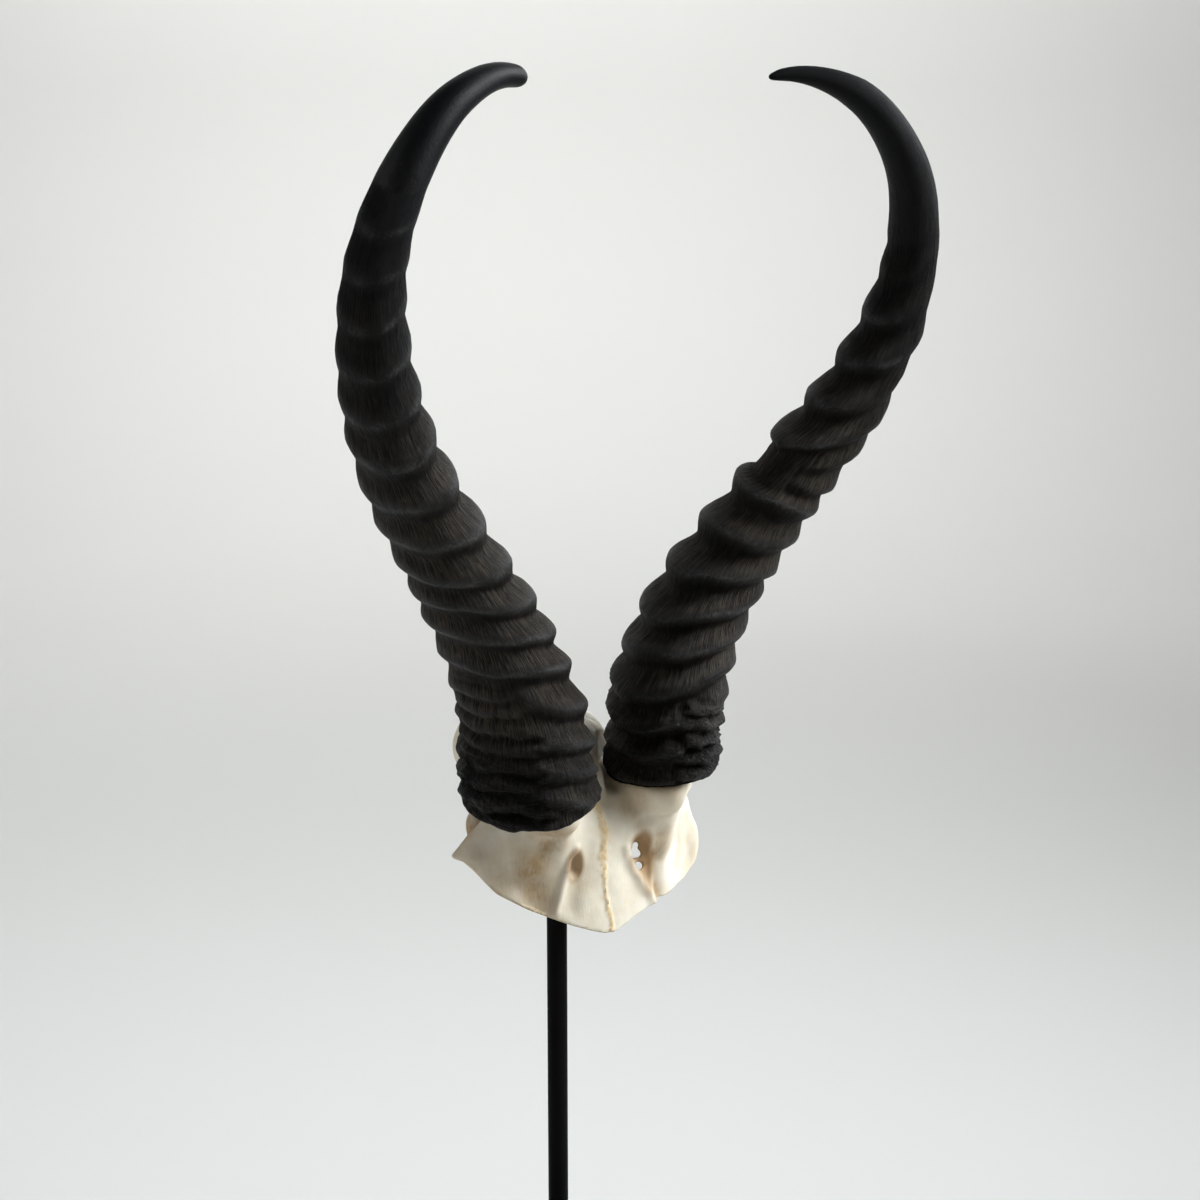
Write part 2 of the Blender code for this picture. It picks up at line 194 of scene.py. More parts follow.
def evaluated(mesh: bpy.types.Mesh, *steps: tuple[str, dict]) -> bpy.types.Mesh:
    """Runs modifiers on a mesh and returns the result.

    Args:
        mesh: What goes in.
        steps: Each modifier's type and settings, in order.

    Returns:
        The mesh that comes out.
    """
    carrier = bpy.data.objects.new("carrier", mesh)
    bpy.context.scene.collection.objects.link(carrier)
    for kind, settings in steps:
        modifier = carrier.modifiers.new(kind.lower(), kind)
        for key, value in settings.items():
            setattr(modifier, key, value)
    graph = bpy.context.evaluated_depsgraph_get()
    made = bpy.data.meshes.new_from_object(carrier.evaluated_get(graph))
    bpy.data.objects.remove(carrier)
    return made


def minus(mesh: bpy.types.Mesh, cutter: bpy.types.Mesh) -> bpy.types.Mesh:
    """The mesh with the cutter's solid taken away."""
    tool = bpy.data.objects.new("tool", cutter)
    bpy.context.scene.collection.objects.link(tool)
    made = evaluated(mesh, ("BOOLEAN", {"operation": "DIFFERENCE", "solver": "EXACT", "object": tool}))
    bpy.data.objects.remove(tool)
    return made


def add_cylinder(bm: bmesh.types.BMesh, place: Matrix, radius: float, length: float, sides: int = 48) -> None:
    """Adds a closed cylinder about the place's Z axis, centred on its origin."""
    bmesh.ops.create_cone(bm, cap_ends=True, segments=sides, radius1=radius, radius2=radius, depth=length,
                          matrix=place)


def turned(profile: Sequence[Pair], sides: int) -> bmesh.types.BMesh:
    """A solid of revolution about Z.

    Args:
        profile: (radius, height) corners from the axis out and back to the axis.
        sides: Steps of the full turn.

    Returns:
        The closed solid.
    """
    bm = bmesh.new()
    corners = [bm.verts.new((radius, 0, height)) for radius, height in profile]
    edges = [bm.edges.new(pair) for pair in zip(corners, corners[1:])]
    bmesh.ops.spin(bm, geom=corners + edges, axis=(0, 0, 1), cent=(0, 0, 0), angle=math.tau, steps=sides,
                   use_merge=True)
    bmesh.ops.remove_doubles(bm, verts=bm.verts, dist=1e-5)
    return bm


# ---- finishes


class Graph:
    """A material's node tree, with short calls to wire it."""

    def __init__(self, name: str) -> None:
        """Starts a material with a Principled shader and its output."""
        self.material = bpy.data.materials.new(name)
        self.material.use_nodes = True
        self.nodes = self.material.node_tree.nodes
        self.links = self.material.node_tree.links
        self.shader = self.nodes["Principled BSDF"]

    def put(self, socket: Socket, value: object) -> None:
        """Links an output to the socket, or sets the socket's own value."""
        if isinstance(value, Socket):
            self.links.new(value, socket)
        elif isinstance(value, tuple) and len(value) == 3 and socket.type == "RGBA":
            socket.default_value = (*value, 1)
        else:
            socket.default_value = value

    def coordinate(self, scale: float) -> Socket:
        """Object coordinates, in features of the given count per metre."""
        source = self.nodes.new("ShaderNodeTexCoord").outputs["Object"]
        mapping = self.nodes.new("ShaderNodeMapping")
        mapping.inputs["Scale"].default_value = (scale, scale, scale)
        self.links.new(source, mapping.inputs["Vector"])
        return mapping.outputs["Vector"]

    def attribute(self, name: str, output: str = "Fac") -> Socket:
        """A painted attribute."""
        node = self.nodes.new("ShaderNodeAttribute")
        node.attribute_name = name
        return node.outputs[output]

    def stretched(self, vector: Socket, scale: Triple) -> Socket:
        """A vector scaled along its three axes."""
        node = self.nodes.new("ShaderNodeVectorMath")
        node.operation = "MULTIPLY"
        node.inputs[1].default_value = scale
        self.links.new(vector, node.inputs[0])
        return node.outputs[0]

    def noise(self, vector: Socket, detail: float = 3.0, rough: float = 0.55,
              distortion: float = 0.0) -> Socket:
        """Noise from 0 to 1, with features a unit of the vector long."""
        node = self.nodes.new("ShaderNodeTexNoise")
        self.put(node.inputs["Vector"], vector)
        node.inputs["Scale"].default_value = 1.0
        node.inputs["Detail"].default_value = detail
        node.inputs["Roughness"].default_value = rough
        node.inputs["Distortion"].default_value = distortion
        return node.outputs["Fac"]

    def cells(self, vector: Socket) -> Socket:
        """Distance to the nearest of many scattered points, a unit of the vector apart."""
        node = self.nodes.new("ShaderNodeTexVoronoi")
        self.put(node.inputs["Vector"], vector)
        node.inputs["Scale"].default_value = 1.0
        return node.outputs["Distance"]

    def ramp(self, value: Socket, low: float, high: float, start: float = 0.0,
             end: float = 1.0) -> Socket:
        """Maps a value from one span to another, clamped.

        Args:
            value: What goes in.
            low: The input that gives start.
            high: The input that gives end.
            start: The output at low.
            end: The output at high.

        Returns:
            The mapped value.
        """
        node = self.nodes.new("ShaderNodeMapRange")
        self.put(node.inputs["Value"], value)
        for key, number in (("From Min", low), ("From Max", high), ("To Min", start), ("To Max", end)):
            node.inputs[key].default_value = number
        return node.outputs["Result"]

    def maths(self, operation: str, a: object, b: object) -> Socket:
        """One arithmetic step on two values."""
        node = self.nodes.new("ShaderNodeMath")
        node.operation = operation
        self.put(node.inputs[0], a)
        self.put(node.inputs[1], b)
        return node.outputs[0]

    def times(self, a: object, b: object) -> Socket:
        """Two values multiplied."""
        return self.maths("MULTIPLY", a, b)

    def plus(self, a: object, b: object) -> Socket:
        """Two values added."""
        return self.maths("ADD", a, b)

    def mix(self, factor: object, a: object, b: object) -> Socket:
        """Blends two colours."""
        node = self.nodes.new("ShaderNodeMix")
        node.data_type = "RGBA"
        self.put(node.inputs[0], factor)
        self.put(node.inputs[6], a)
        self.put(node.inputs[7], b)
        return node.outputs[2]

    def bump(self, height: Socket, distance: float, strength: float = 1.0) -> Socket:
        """A normal raised by a height.

        Args:
            height: The height, from 0 to 1.
            distance: What a height of 1 stands for, in metres.
            strength: How much of it shows.

        Returns:
            The normal.
        """
        node = self.nodes.new("ShaderNodeBump")
        node.inputs["Distance"].default_value = distance
        node.inputs["Strength"].default_value = strength
        self.put(node.inputs["Height"], height)
        return node.outputs["Normal"]

    def finish(self, **sockets: object) -> bpy.types.Material:
        """Sets or links the shader's sockets, named with _ for a space, and returns the material."""
        for key, value in sockets.items():
            self.put(self.shader.inputs[key.replace("_", " ")], value)
        return self.material


@dataclass(frozen=True)
class HornKeratin:
    """Near-black horn: brown and striated between its rings, slate on their crests, polished at its tip;
    painted shade under the crests and in the base's grooves, and pale rubbed flecks on the crests that are
    also a painted highlight.
    """

    valley: Colour = (0.0150, 0.0122, 0.0098)
    streak: Colour = (0.066, 0.054, 0.042)
    crest: Colour = (0.0115, 0.0115, 0.0118)
    # pale grey on the crest tops: rubbed keratin, also standing in as a painted highlight
    rubbed_highlight: Colour = (0.056, 0.056, 0.056)
    tip: Colour = (0.0030, 0.0033, 0.0042)
    upper: Colour = (0.0048, 0.0050, 0.0060)
    # near black for the hair cracks, and for the painted shade under the crests and in the grooves at the
    # base
    crack_and_shade: Colour = (0.0015, 0.0012, 0.0010)

    hair: Triple = (4.6, 4.6, 1.1)  # counts of fine hairs across, across and along the grain
    strand: Triple = (1.1, 1.1, 0.5)
    fold: Triple = (0.55, 0.55, 7.0)
    fold_height: float = 3.4  # against a hair's
    fleck_height: float = 0.12
    relief: float = 0.0013  # metres

    def build(self) -> bpy.types.Material:
        """The material, which reads all that the sheath's relief paints, and its grain."""
        g = Graph("horn_keratin")
        ring, smooth, grain = g.attribute("ring"), g.attribute("smooth"), g.attribute("grain", "Vector")
        wear_and_highlight = g.attribute("wear_and_highlight")
        hairs = g.noise(g.stretched(grain, self.hair), detail=3, rough=0.65, distortion=0.9)
        strands = g.noise(g.stretched(grain, self.strand), detail=3, distortion=0.4)
        patches = g.noise(g.coordinate(60), detail=4)
        specks = g.noise(g.coordinate(900), detail=3, rough=0.7)
        coarse = g.attribute("coarse")

        between = g.mix(g.ramp(g.times(hairs, g.ramp(patches, 0.3, 0.7, 0.8, 1.25)), 0.46, 0.6),
                        self.valley, self.streak)
        between = g.mix(g.ramp(strands, 0.35, 0.65, 0, 0.55), between, self.valley)
        slate = g.times(g.attribute("upper"), g.ramp(patches, 0.3, 0.7, 1.0, 0.75))
        between = g.mix(slate, between, self.upper)
        # pale flecks on the crest tops: rubbed keratin and painted highlight
        rubbed_highlights = g.times(g.ramp(g.times(specks, wear_and_highlight), 0.3, 0.62), g.ramp(ring, 0.78, 0.98))
        crests = g.mix(rubbed_highlights, self.crest, self.rubbed_highlight)
        between = g.mix(g.times(coarse, 0.75), between, self.crest)
        colour = g.mix(g.ramp(ring, 0.62, 0.97, 0, 0.9), between, crests)
        cracks = g.times(g.ramp(hairs, 0.43, 0.495, 0.95, 0), g.ramp(ring, 0.5, 0.95, 1, 0.15))
        colour = g.mix(cracks, colour, self.crack_and_shade)
        # painted shade: each crest's underside darkened towards near black
        shaded = g.times(g.attribute("under"), g.ramp(patches, 0.3, 0.7, 1.0, 0.7))
        colour = g.mix(shaded, colour, self.crack_and_shade)
        # painted shade: the grooves between the rings at the base darkened towards near black
        painted_groove_shade = g.times(coarse, g.ramp(ring, 0.15, 0.7, 0.85, 0))
        colour = g.mix(painted_groove_shade, colour, self.crack_and_shade)
        polished = g.mix(g.ramp(specks, 0.62, 0.8, 0, 0.5), self.tip, self.crest)
        colour = g.mix(smooth, colour, polished)

        roughness = g.plus(g.ramp(ring, 0.3, 1, 0.62, 0.44), g.ramp(patches, 0.3, 0.7, -0.05, 0.07))
        scuffs = g.times(smooth, g.ramp(hairs, 0.35, 0.65, -0.06, 0.1))
        roughness = g.plus(roughness, scuffs)

        height = g.times(hairs, g.ramp(ring, 0.45, 0.9, 1, 0.2))
        height = g.times(height, g.ramp(smooth, 0, 1, 1, 0.12))
        height = g.times(height, g.ramp(coarse, 0, 1, 1, 0.2))
        folds = g.noise(g.stretched(grain, self.fold), detail=4, rough=0.6)
        height = g.plus(height, g.times(g.times(folds, coarse), self.fold_height))
        height = g.plus(height, g.times(specks, self.fleck_height))
        return g.finish(Base_Color=colour, Roughness=roughness, Normal=g.bump(height, self.relief), IOR=1.45,
                        Specular_IOR_Level=0.15)


@dataclass(frozen=True)
class DryBone:
    """Cleaned, dry ivory bone: mottled, tan where grease or horn stained it and where painted shade darkens
    its hollows, furrows and the bone under the sheaths, whiter with a painted highlight along its ridges,
    porous on its sawn faces.
    """

    ivory: Colour = (0.76, 0.68, 0.52)
    # a whitish tone for the mottle, and for the painted highlight along the ridges
    chalk_and_highlight: Colour = (0.84, 0.80, 0.69)
    # for stain and for painted shade
    tan: Colour = (0.38, 0.24, 0.10)
    # painted shade in the pits and one furrow
    recess_shade: Colour = (0.30, 0.17, 0.06)
    suture: Colour = (0.70, 0.51, 0.24)
    marrow: Colour = (0.50, 0.36, 0.19)

    def build(self) -> bpy.types.Material:
        """The material, which reads the cap's stain and painted shade, recess shade, suture, sawn, and chalky
        tone and highlight attributes.
        """
        g = Graph("dry_bone")
        mottle = g.noise(g.coordinate(55), detail=5, rough=0.6)
        cloud = g.noise(g.coordinate(140), detail=4, rough=0.6)
        grit = g.noise(g.coordinate(1100), detail=3, rough=0.65)
        fibres = g.noise(g.stretched(g.coordinate(1.0), (1500, 900, 170)), detail=2)
        pores = g.cells(g.coordinate(1250))

        colour = g.mix(g.ramp(mottle, 0.35, 0.65), self.ivory, self.chalk_and_highlight)
        # whiter along the ridges: chalky tone and painted highlight
        colour = g.mix(g.times(g.attribute("chalky_and_highlit"), 0.8), colour, self.chalk_and_highlight)
        # tan for stain and painted shade, streaked along the fibres
        stain_and_shade = g.times(g.attribute("stain_and_shade"), g.ramp(cloud, 0.25, 0.7, 0.55, 1.2))
        streaks = g.times(stain_and_shade, g.ramp(fibres, 0.3, 0.7, 0.85, 1.12))
        colour = g.mix(g.ramp(streaks, 0, 1, 0, 0.95), colour, self.tan)
        # painted shade in the pits and one furrow, darkest at the pits' upper walls
        colour = g.mix(g.ramp(g.attribute("cavity"), 0, 1, 0, 0.9), colour, self.recess_shade)
        seam = g.times(g.attribute("suture"), g.ramp(grit, 0.35, 0.6, 0.45, 1.15))
        colour = g.mix(seam, colour, self.suture)
        sawn = g.attribute("sawn")
        spongy = g.times(sawn, g.ramp(pores, 0.15, 0.5, 1, 0.35))
        colour = g.mix(spongy, colour, self.marrow)

        roughness = g.plus(g.ramp(mottle, 0.3, 0.7, 0.5, 0.62), g.times(sawn, 0.2))
        pits = g.times(g.ramp(pores, 0.05, 0.3), g.ramp(sawn, 0, 1, 0.15, 1))
        grain = g.plus(g.times(grit, 0.35), g.times(fibres, 0.3))
        rough_seam = g.times(grit, g.attribute("suture"))
        relief = g.bump(g.plus(g.plus(grain, pits), rough_seam), 0.00022, 0.7)
        return g.finish(Base_Color=colour, Roughness=roughness, Normal=relief, Subsurface_Weight=0.12,
                        Subsurface_Scale=0.004, Subsurface_Radius=(1.0, 0.6, 0.35), IOR=1.5,
                        Specular_IOR_Level=0.4)


@dataclass(frozen=True)
class BlackSteel:
    """Steel under a thin matt black coat: fine orange peel and a few dull rubs."""

    coat: Colour = (0.0016, 0.0015, 0.0016)
    dull: Colour = (0.0050, 0.0050, 0.0052)

    def build(self) -> bpy.types.Material:
        """The material, in Object coordinates."""
        g = Graph("matt_black_steel")
        peel = g.noise(g.coordinate(1400), detail=2, rough=0.6)
        clouds = g.noise(g.coordinate(35), detail=4)
        rubbed_highlights = g.noise(g.stretched(g.coordinate(1.0), (260, 260, 30)), detail=3, rough=0.7)
        colour = g.mix(g.ramp(clouds, 0.35, 0.7, 0, 0.6), self.coat, self.dull)
        colour = g.mix(g.ramp(rubbed_highlights, 0.64, 0.78, 0, 0.6), colour, self.dull)
        roughness = g.plus(g.ramp(clouds, 0.3, 0.7, 0.5, 0.62), g.ramp(rubbed_highlights, 0.6, 0.8, 0, -0.1))
        relief = g.bump(peel, 0.00005, 0.5)
        return g.finish(Base_Color=colour, Roughness=roughness, Normal=relief, Specular_IOR_Level=0.05)


@dataclass(frozen=True)
class ZincSteel:
    """Zinc-plated screw steel with fine turning marks."""

    bright: Colour = (0.62, 0.62, 0.60)
    dull: Colour = (0.40, 0.39, 0.37)

    def build(self) -> bpy.types.Material:
        """The material, in Object coordinates."""
        g = Graph("zinc_screw_steel")
        marks = g.noise(g.stretched(g.coordinate(1.0), (900, 900, 9000)), detail=2)
        tarnish = g.noise(g.coordinate(500), detail=3)
        colour = g.mix(g.ramp(tarnish, 0.4, 0.7), self.bright, self.dull)
        roughness = g.ramp(marks, 0.3, 0.7, 0.26, 0.42)
        relief = g.bump(marks, 0.00003, 0.6)
        return g.finish(Base_Color=colour, Roughness=roughness, Metallic=1.0, Normal=relief)


@dataclass(frozen=True)
class StudioPaper:
    """Plain pale studio paper for the floor and the sweep behind."""

    tone: Colour = (0.78, 0.785, 0.765)

    def build(self) -> bpy.types.Material:
        """The material, in Object coordinates."""
        g = Graph("studio_paper")
        cloud = g.noise(g.coordinate(3), detail=3)
        lighter = tuple(min(1.0, c * 1.03) for c in self.tone)
        return g.finish(Base_Color=g.mix(cloud, self.tone, lighter), Roughness=0.9, Specular_IOR_Level=0.1)


# ---- pieces


@dataclass
class Piece:
    """A shown piece, and the CAD node that it stands for."""

    name: str
    node: str
    slot: Slot

    def place(self, mesh: bpy.types.Mesh, finish: bpy.types.Material, sharp: float = 40) -> bpy.types.Object:
        """Args:
            mesh: The mesh, in metres in the CAD's frame.
            finish: Its material.
            sharp: Edges that turn by more degrees than this stay sharp.

        Returns:
            The piece.
        """
        mesh.materials.clear()
        mesh.materials.append(finish)
        mesh.shade_smooth()
        mesh.set_sharp_from_angle(angle=math.radians(sharp))
        made = bpy.data.objects.new(self.name, mesh)
        bpy.context.scene.collection.objects.link(made)
        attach(made, BODY)
        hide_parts(self.node)
        mesh.calc_loop_triangles()
        LOG.info("%s: %d triangles", self.name, len(mesh.loop_triangles))
        return made


class Spine:
    """The horn's centre line on the +X side, in mm in the cap's frame, read by its length from the base."""

    POINTS = ((29.5, 0, 0), (34, 0, 31), (46, -2, 60), (63, -8, 86), (81, -16, 111), (97, -26, 136),
              (108, -35, 164), (111, -42, 195), (102, -46, 224), (81, -43, 247), (52, -33, 253))
    LEAD_IN = (29.5, 0, -31)
    LEAD_OUT = (22, -29, 233)

    def __init__(self) -> None:
        """Measures the curve."""
        self.corners = np.array((self.LEAD_IN, *self.POINTS, self.LEAD_OUT), float)
        samples = self.at(np.linspace(0, 1, 201))
        steps = np.linalg.norm(np.diff(samples, axis=0), axis=1)
        self.lengths = np.concatenate(([0.0], np.cumsum(steps)))
        self.length = float(self.lengths[-1])

    def at(self, share: np.ndarray) -> np.ndarray:
        """The points at shares of the curve, by Catmull-Rom through the nearest four corners."""
        spans = len(self.corners) - 3
        k = np.minimum((share * spans).astype(int), spans - 1)
        t = (share * spans - k)[:, None]
        a, b, c, d = (self.corners[k + i] for i in range(4))
        square, cube = 2 * a - 5 * b + 4 * c - d, 3 * b - a - 3 * c + d
        return 0.5 * (2 * b + (c - a) * t + square * t**2 + cube * t**3)

    def share(self, s: np.ndarray) -> np.ndarray:
        """The curve's shares at lengths s."""
        return np.interp(s, self.lengths, np.linspace(0, 1, len(self.lengths)))

    def frames(self, s: np.ndarray) -> tuple[np.ndarray, np.ndarray, np.ndarray]:
        """Places along the spine.

        Args:
            s: Lengths from the base; beyond its two ends the spine runs straight on.

        Returns:
            The place, the front direction and the outer direction at each length.
        """
        u = self.share(s)
        run = self.at(np.minimum(u + 0.01, 1)) - self.at(np.maximum(u - 0.01, 0))
        tangent = run / np.linalg.norm(run, axis=1)[:, None]
        front = np.array((0, -1.0, 0)) + tangent * tangent[:, 1:2]
        front /= np.linalg.norm(front, axis=1)[:, None]
        past = np.minimum(s, 0) + np.maximum(s - self.length, 0)
        return self.at(u) + tangent * past[:, None], front, np.cross(tangent, front)


@dataclass(frozen=True)
class Ring:
    """One ring of a horn: how far up its crest lies on the inner and outer lines, and how high it stands."""

    inner: float
    outer: float
    inner_height: float = 1.0
    outer_height: float = 1.0


@dataclass(frozen=True)
class Chip:
    """A small lifted flake or nick of the sheath."""

    turn: float  # degrees round from the front, towards the outer side
    along: float  # mm from the base
    width: float  # mm
    lift: float  # mm, negative for a nick


@dataclass(frozen=True)
class HornGrowth:
    """What differs between the two horns: rings, rim, tip and the worn patch of narrow rings at the base."""

    rings: tuple[Ring, ...]
    inner_line: float  # degrees round from the front, where inner positions are measured
    outer_line: float
    rim: Triple  # height, and drop to the front and to the outer side, in mm
    relief: float  # how strong its rings are
    tip_radii: Pair  # near the tip and at it
    patch: Triple  # the patch's first and last degree, and how far up it reaches, in mm
    patch_spacing: float
    foot: Pair  # how far the base stands out at the inner and outer sides, in mm
    chips: tuple[Chip, ...]


GROWTH = {
    Side.LEFT: HornGrowth(
        rings=(Ring(0, 6), Ring(7, 17), Ring(15, 31), Ring(29, 48), Ring(43, 64), Ring(58, 81), Ring(74, 96),
               Ring(92.5, 110), Ring(116.5, 127.5), Ring(142, 146), Ring(164, 163), Ring(183, 178.5),
               Ring(200, 193.5), Ring(216, 208), Ring(230, 222), Ring(244, 236)),
        inner_line=-56, outer_line=124, rim=(-3.5, 2.8, 4.9), relief=0.85, tip_radii=(5.9, 3.7),
        patch=(38, 150, 50), patch_spacing=8.2, foot=(-1.9, 1.4),
        chips=(Chip(-48, 3.5, 3.2, 1.5), Chip(-40, 8, 2.2, -0.8), Chip(58, 44, 2.4, 0.8),
               Chip(36, 22, 2.0, 0.7), Chip(2, 1.5, 3, -0.6), Chip(96, 6, 4, 0.7))),
    Side.RIGHT: HornGrowth(
        rings=(Ring(-3, 4), Ring(8, 18), Ring(18, 31), Ring(28.7, 46), Ring(41.5, 61), Ring(55.5, 76),
               Ring(73, 88.5), Ring(91.4, 102), Ring(111, 115.5), Ring(119.5, 127, 0, 1),
               Ring(126, 143, 0.1, 1), Ring(133, 158), Ring(153, 174, 1, 0.4), Ring(173, 189),
               Ring(193, 206, 1, 0.3), Ring(211, 222, 0.7, 0.3)),
        inner_line=-124, outer_line=56, rim=(-4, -0.7, -3.4), relief=1.08, tip_radii=(6.0, 1.8),
        patch=(-14, 140, 30), patch_spacing=6.6, foot=(-2.3, -1.9),
        chips=(Chip(-15, 5, 2.4, -0.9), Chip(-14, 14, 2.0, -0.8), Chip(-17, 24, 1.8, -0.6),
               Chip(34, 4, 3, 0.6), Chip(-70, 2, 3, 0.5))),
}


@dataclass
class HornSheath(Piece):
    """One ringed horn sheath: a grid rolled into a tube, from its socket round the rim and up to the tip."""

    side: Side = Side.LEFT
    columns: int = 288
    ring_rows: int = 296
    smooth_rows: int = 22
    radii: tuple[float, ...] = (25.1, 22.6, 19.9, 17.4, 15.7, 14.0, 12.1, 9.9, 8.0)
    oval_base: float = 1.154  # half the depth over the mean radius
    oval_tip: float = 1.05
    oval_turn: float = -12.5
    rim_fade: float = 45  # above this the sections are square to the spine
    front_sag: float = 3.0  # how much lower a ring lies at the front
    valley: float = 0.59  # where the lowest line lies between one crest and the next one up
    roundness: float = 0.7
    socket_depth: float = 20
    ringed_length: float = 252
    tip_start: float = 3  # the rounded tip starts this far short of the spine's end
    tip_reach: float = 5.0
    chip_height: float = 1.7
    unevenness: float = 0.22  # of a ring's height round the horn
    strand_height: float = 0.17
    lump_heights: Pair = (0.14, 0.4)  # all over, and what is added at the base
    ledge_heights: Pair = (1.9, 2.0)  # at the base, and what is added in its patch
    grit_heights: Pair = (0.05, 0.2)  # all over, and what is added at the base
    base_span: Pair = (8, 40)  # where the rough base gives way to clean rings
    smooth_span: Pair = (205, 262)  # where the rings give way to the smooth tip
    slate_span: Pair = (135, 195)  # where brown gives way to slate
    heights: tuple[Pair, ...] = (  # a ring's height at each length along the horn
        (0, 1.4), (25, 1.5), (60, 1.6), (130, 1.45), (170, 1.1), (190, 0.75), (215, 0.4), (240, 0.16),
        (262, 0), (330, 0))
    wobbles: tuple[Triple, ...] = (  # waves round a ring, their size, and their turn from ring to ring
        (2, 0.8, 2.3), (3, 0.65, 4.1), (5, 0.45, 1.7), (9, 0.2, 5.3))
    rim_share: float = 0.93  # of the radius, from which on the rows get the outer face's relief
    grain_round: float = 12  # the grain's radius and length, in the finish's units
    grain_length: float = 9

    def stations(self, length: float) -> tuple[np.ndarray, np.ndarray]:
        """The rows of the tube.

        Args:
            length: The spine's length in mm.

        Returns:
            Each row's length from the rim, and its share of the outer radius.
        """
        inside = [(self.socket_depth, 0.3), (self.socket_depth, 0.62), (self.socket_depth - 1, 0.7),
                  (self.socket_depth - 4, 0.745), (self.socket_depth / 2, 0.765), (4, 0.775), (1.2, 0.785),
                  (0.3, 0.805), (0, 0.84), (0, 0.9), (0.15, 0.945), (0.5, 0.975)]
        ringed = [(s, 1.0) for s in np.linspace(1.1, self.ringed_length, self.ring_rows)]
        shoulder = length - self.tip_start
        plain = [(s, 1.0) for s in np.linspace(self.ringed_length, shoulder, self.smooth_rows)[1:]]
        tip = [(shoulder + self.tip_reach * math.sin(a), math.cos(a) ** 0.8)
               for a in np.radians((18, 34, 50, 64, 76, 85))]
        rows = np.array(inside + ringed + plain + tip)
        return rows[:, 0], rows[:, 1]

    def ring_field(self, s: np.ndarray, turn: np.ndarray) -> tuple[np.ndarray, np.ndarray, np.ndarray]:
        """The rings at points of the surface.

        Args:
            s: Lengths along the spine.
            turn: Angles round the section, in radians from the front.

        Returns:
            How much of a crest each point is, from 0 to 1; how strongly its ring stands out; and how much of
            a crest's underside it is, which the finish darkens as painted shade.
        """
        growth = GROWTH[self.side]
        inner_line, outer_line = math.radians(growth.inner_line), math.radians(growth.outer_line)
        inner = np.array([ring.inner for ring in growth.rings])
        outer = np.array([ring.outer for ring in growth.rings])
        sag = self.front_sag * (math.cos(inner_line) - math.cos(outer_line))
        lean = (outer - inner - sag) / (math.sin(outer_line) - math.sin(inner_line))
        middle = inner - lean * math.sin(inner_line) + self.front_sag * math.cos(inner_line)
        index = np.arange(len(inner))[:, None]
        fade = np.clip(1.2 - middle / 220, 0.25, 1)[:, None]
        wobble = sum(fade * size * np.sin(waves * turn + index * step + self.side.sign)
                     for waves, size, step in self.wobbles)
        crest = middle[:, None] + lean[:, None] * np.sin(turn) - self.front_sag * np.cos(turn) + wobble
        crest = np.maximum.accumulate(crest + index * 0.01, axis=0)
        crest = np.vstack((crest[:1] - 12, crest, crest[-1:] + 14))

        below = np.clip((crest <= s).sum(axis=0) - 1, 0, len(crest) - 2)
        columns = np.arange(len(s))
        low, high = crest[below, columns], crest[below + 1, columns]
        phase = np.clip((s - low) / np.maximum(high - low, 1.5), 0, 1)
        above = 1 - phase / self.valley
        below_next = (phase - self.valley) / (1 - self.valley)
        straight = np.where(phase < self.valley, above, below_next)
        swell = (1 - self.roundness) * straight + self.roundness * (0.5 - 0.5 * np.cos(math.pi * straight))

        nearest = np.clip(np.where(phase < 0.5, below, below + 1) - 1, 0, len(inner) - 1)
        outwards = (np.sin(turn) - math.sin(inner_line)) / (math.sin(outer_line) - math.sin(inner_line))
        start = np.array([ring.inner_height for ring in growth.rings])[nearest]
        end = np.array([ring.outer_height for ring in growth.rings])[nearest]
        strength = start + (end - start) * smooth_step(0.1, 0.9, outwards)
        # painted shade under each crest, as strong as its ring
        under = np.sin(math.pi * np.clip(below_next, 0, 1)) * strength
        return swell, strength, under

    def patch_field(self, s: np.ndarray, turn: np.ndarray) -> tuple[np.ndarray, np.ndarray]:
        """The narrow, broken rings low on one side.

        Args:
            s: Lengths along the spine.
            turn: Angles round the section, in radians from the front.

        Returns:
            How much of a narrow crest each point is, and how much of the patch it lies in.
        """
        first, last, reach = GROWTH[self.side].patch
        degrees = (np.degrees(turn) + 180) % 360 - 180
        around = np.stack((np.cos(turn), np.sin(turn), np.zeros(len(s))), axis=1)
        lift = np.array((0, 0, 1.0)) * s[:, None]
        ragged = degrees + 14 * noise_field(around + lift / 5, 1, 2.7)
        inside = smooth_step(first - 5, first + 5, ragged) * (1 - smooth_step(last - 30, last, degrees))
        inside = inside * (1 - smooth_step(reach - 12, reach + 8, s + 4 * np.sin(3 * turn)))
        ripple = 3.2 * noise_field(around * 1.6 + lift / 22, 1, 5.2)
        ripple = ripple + 1.1 * noise_field(around * 5 + lift / 8, 1, 1.2)
        phase = (s + ripple) / GROWTH[self.side].patch_spacing
        swell = 0.5 + 0.5 * np.cos(math.tau * (phase - 0.07 * np.sin(math.tau * phase)))
        return swell**0.8, inside

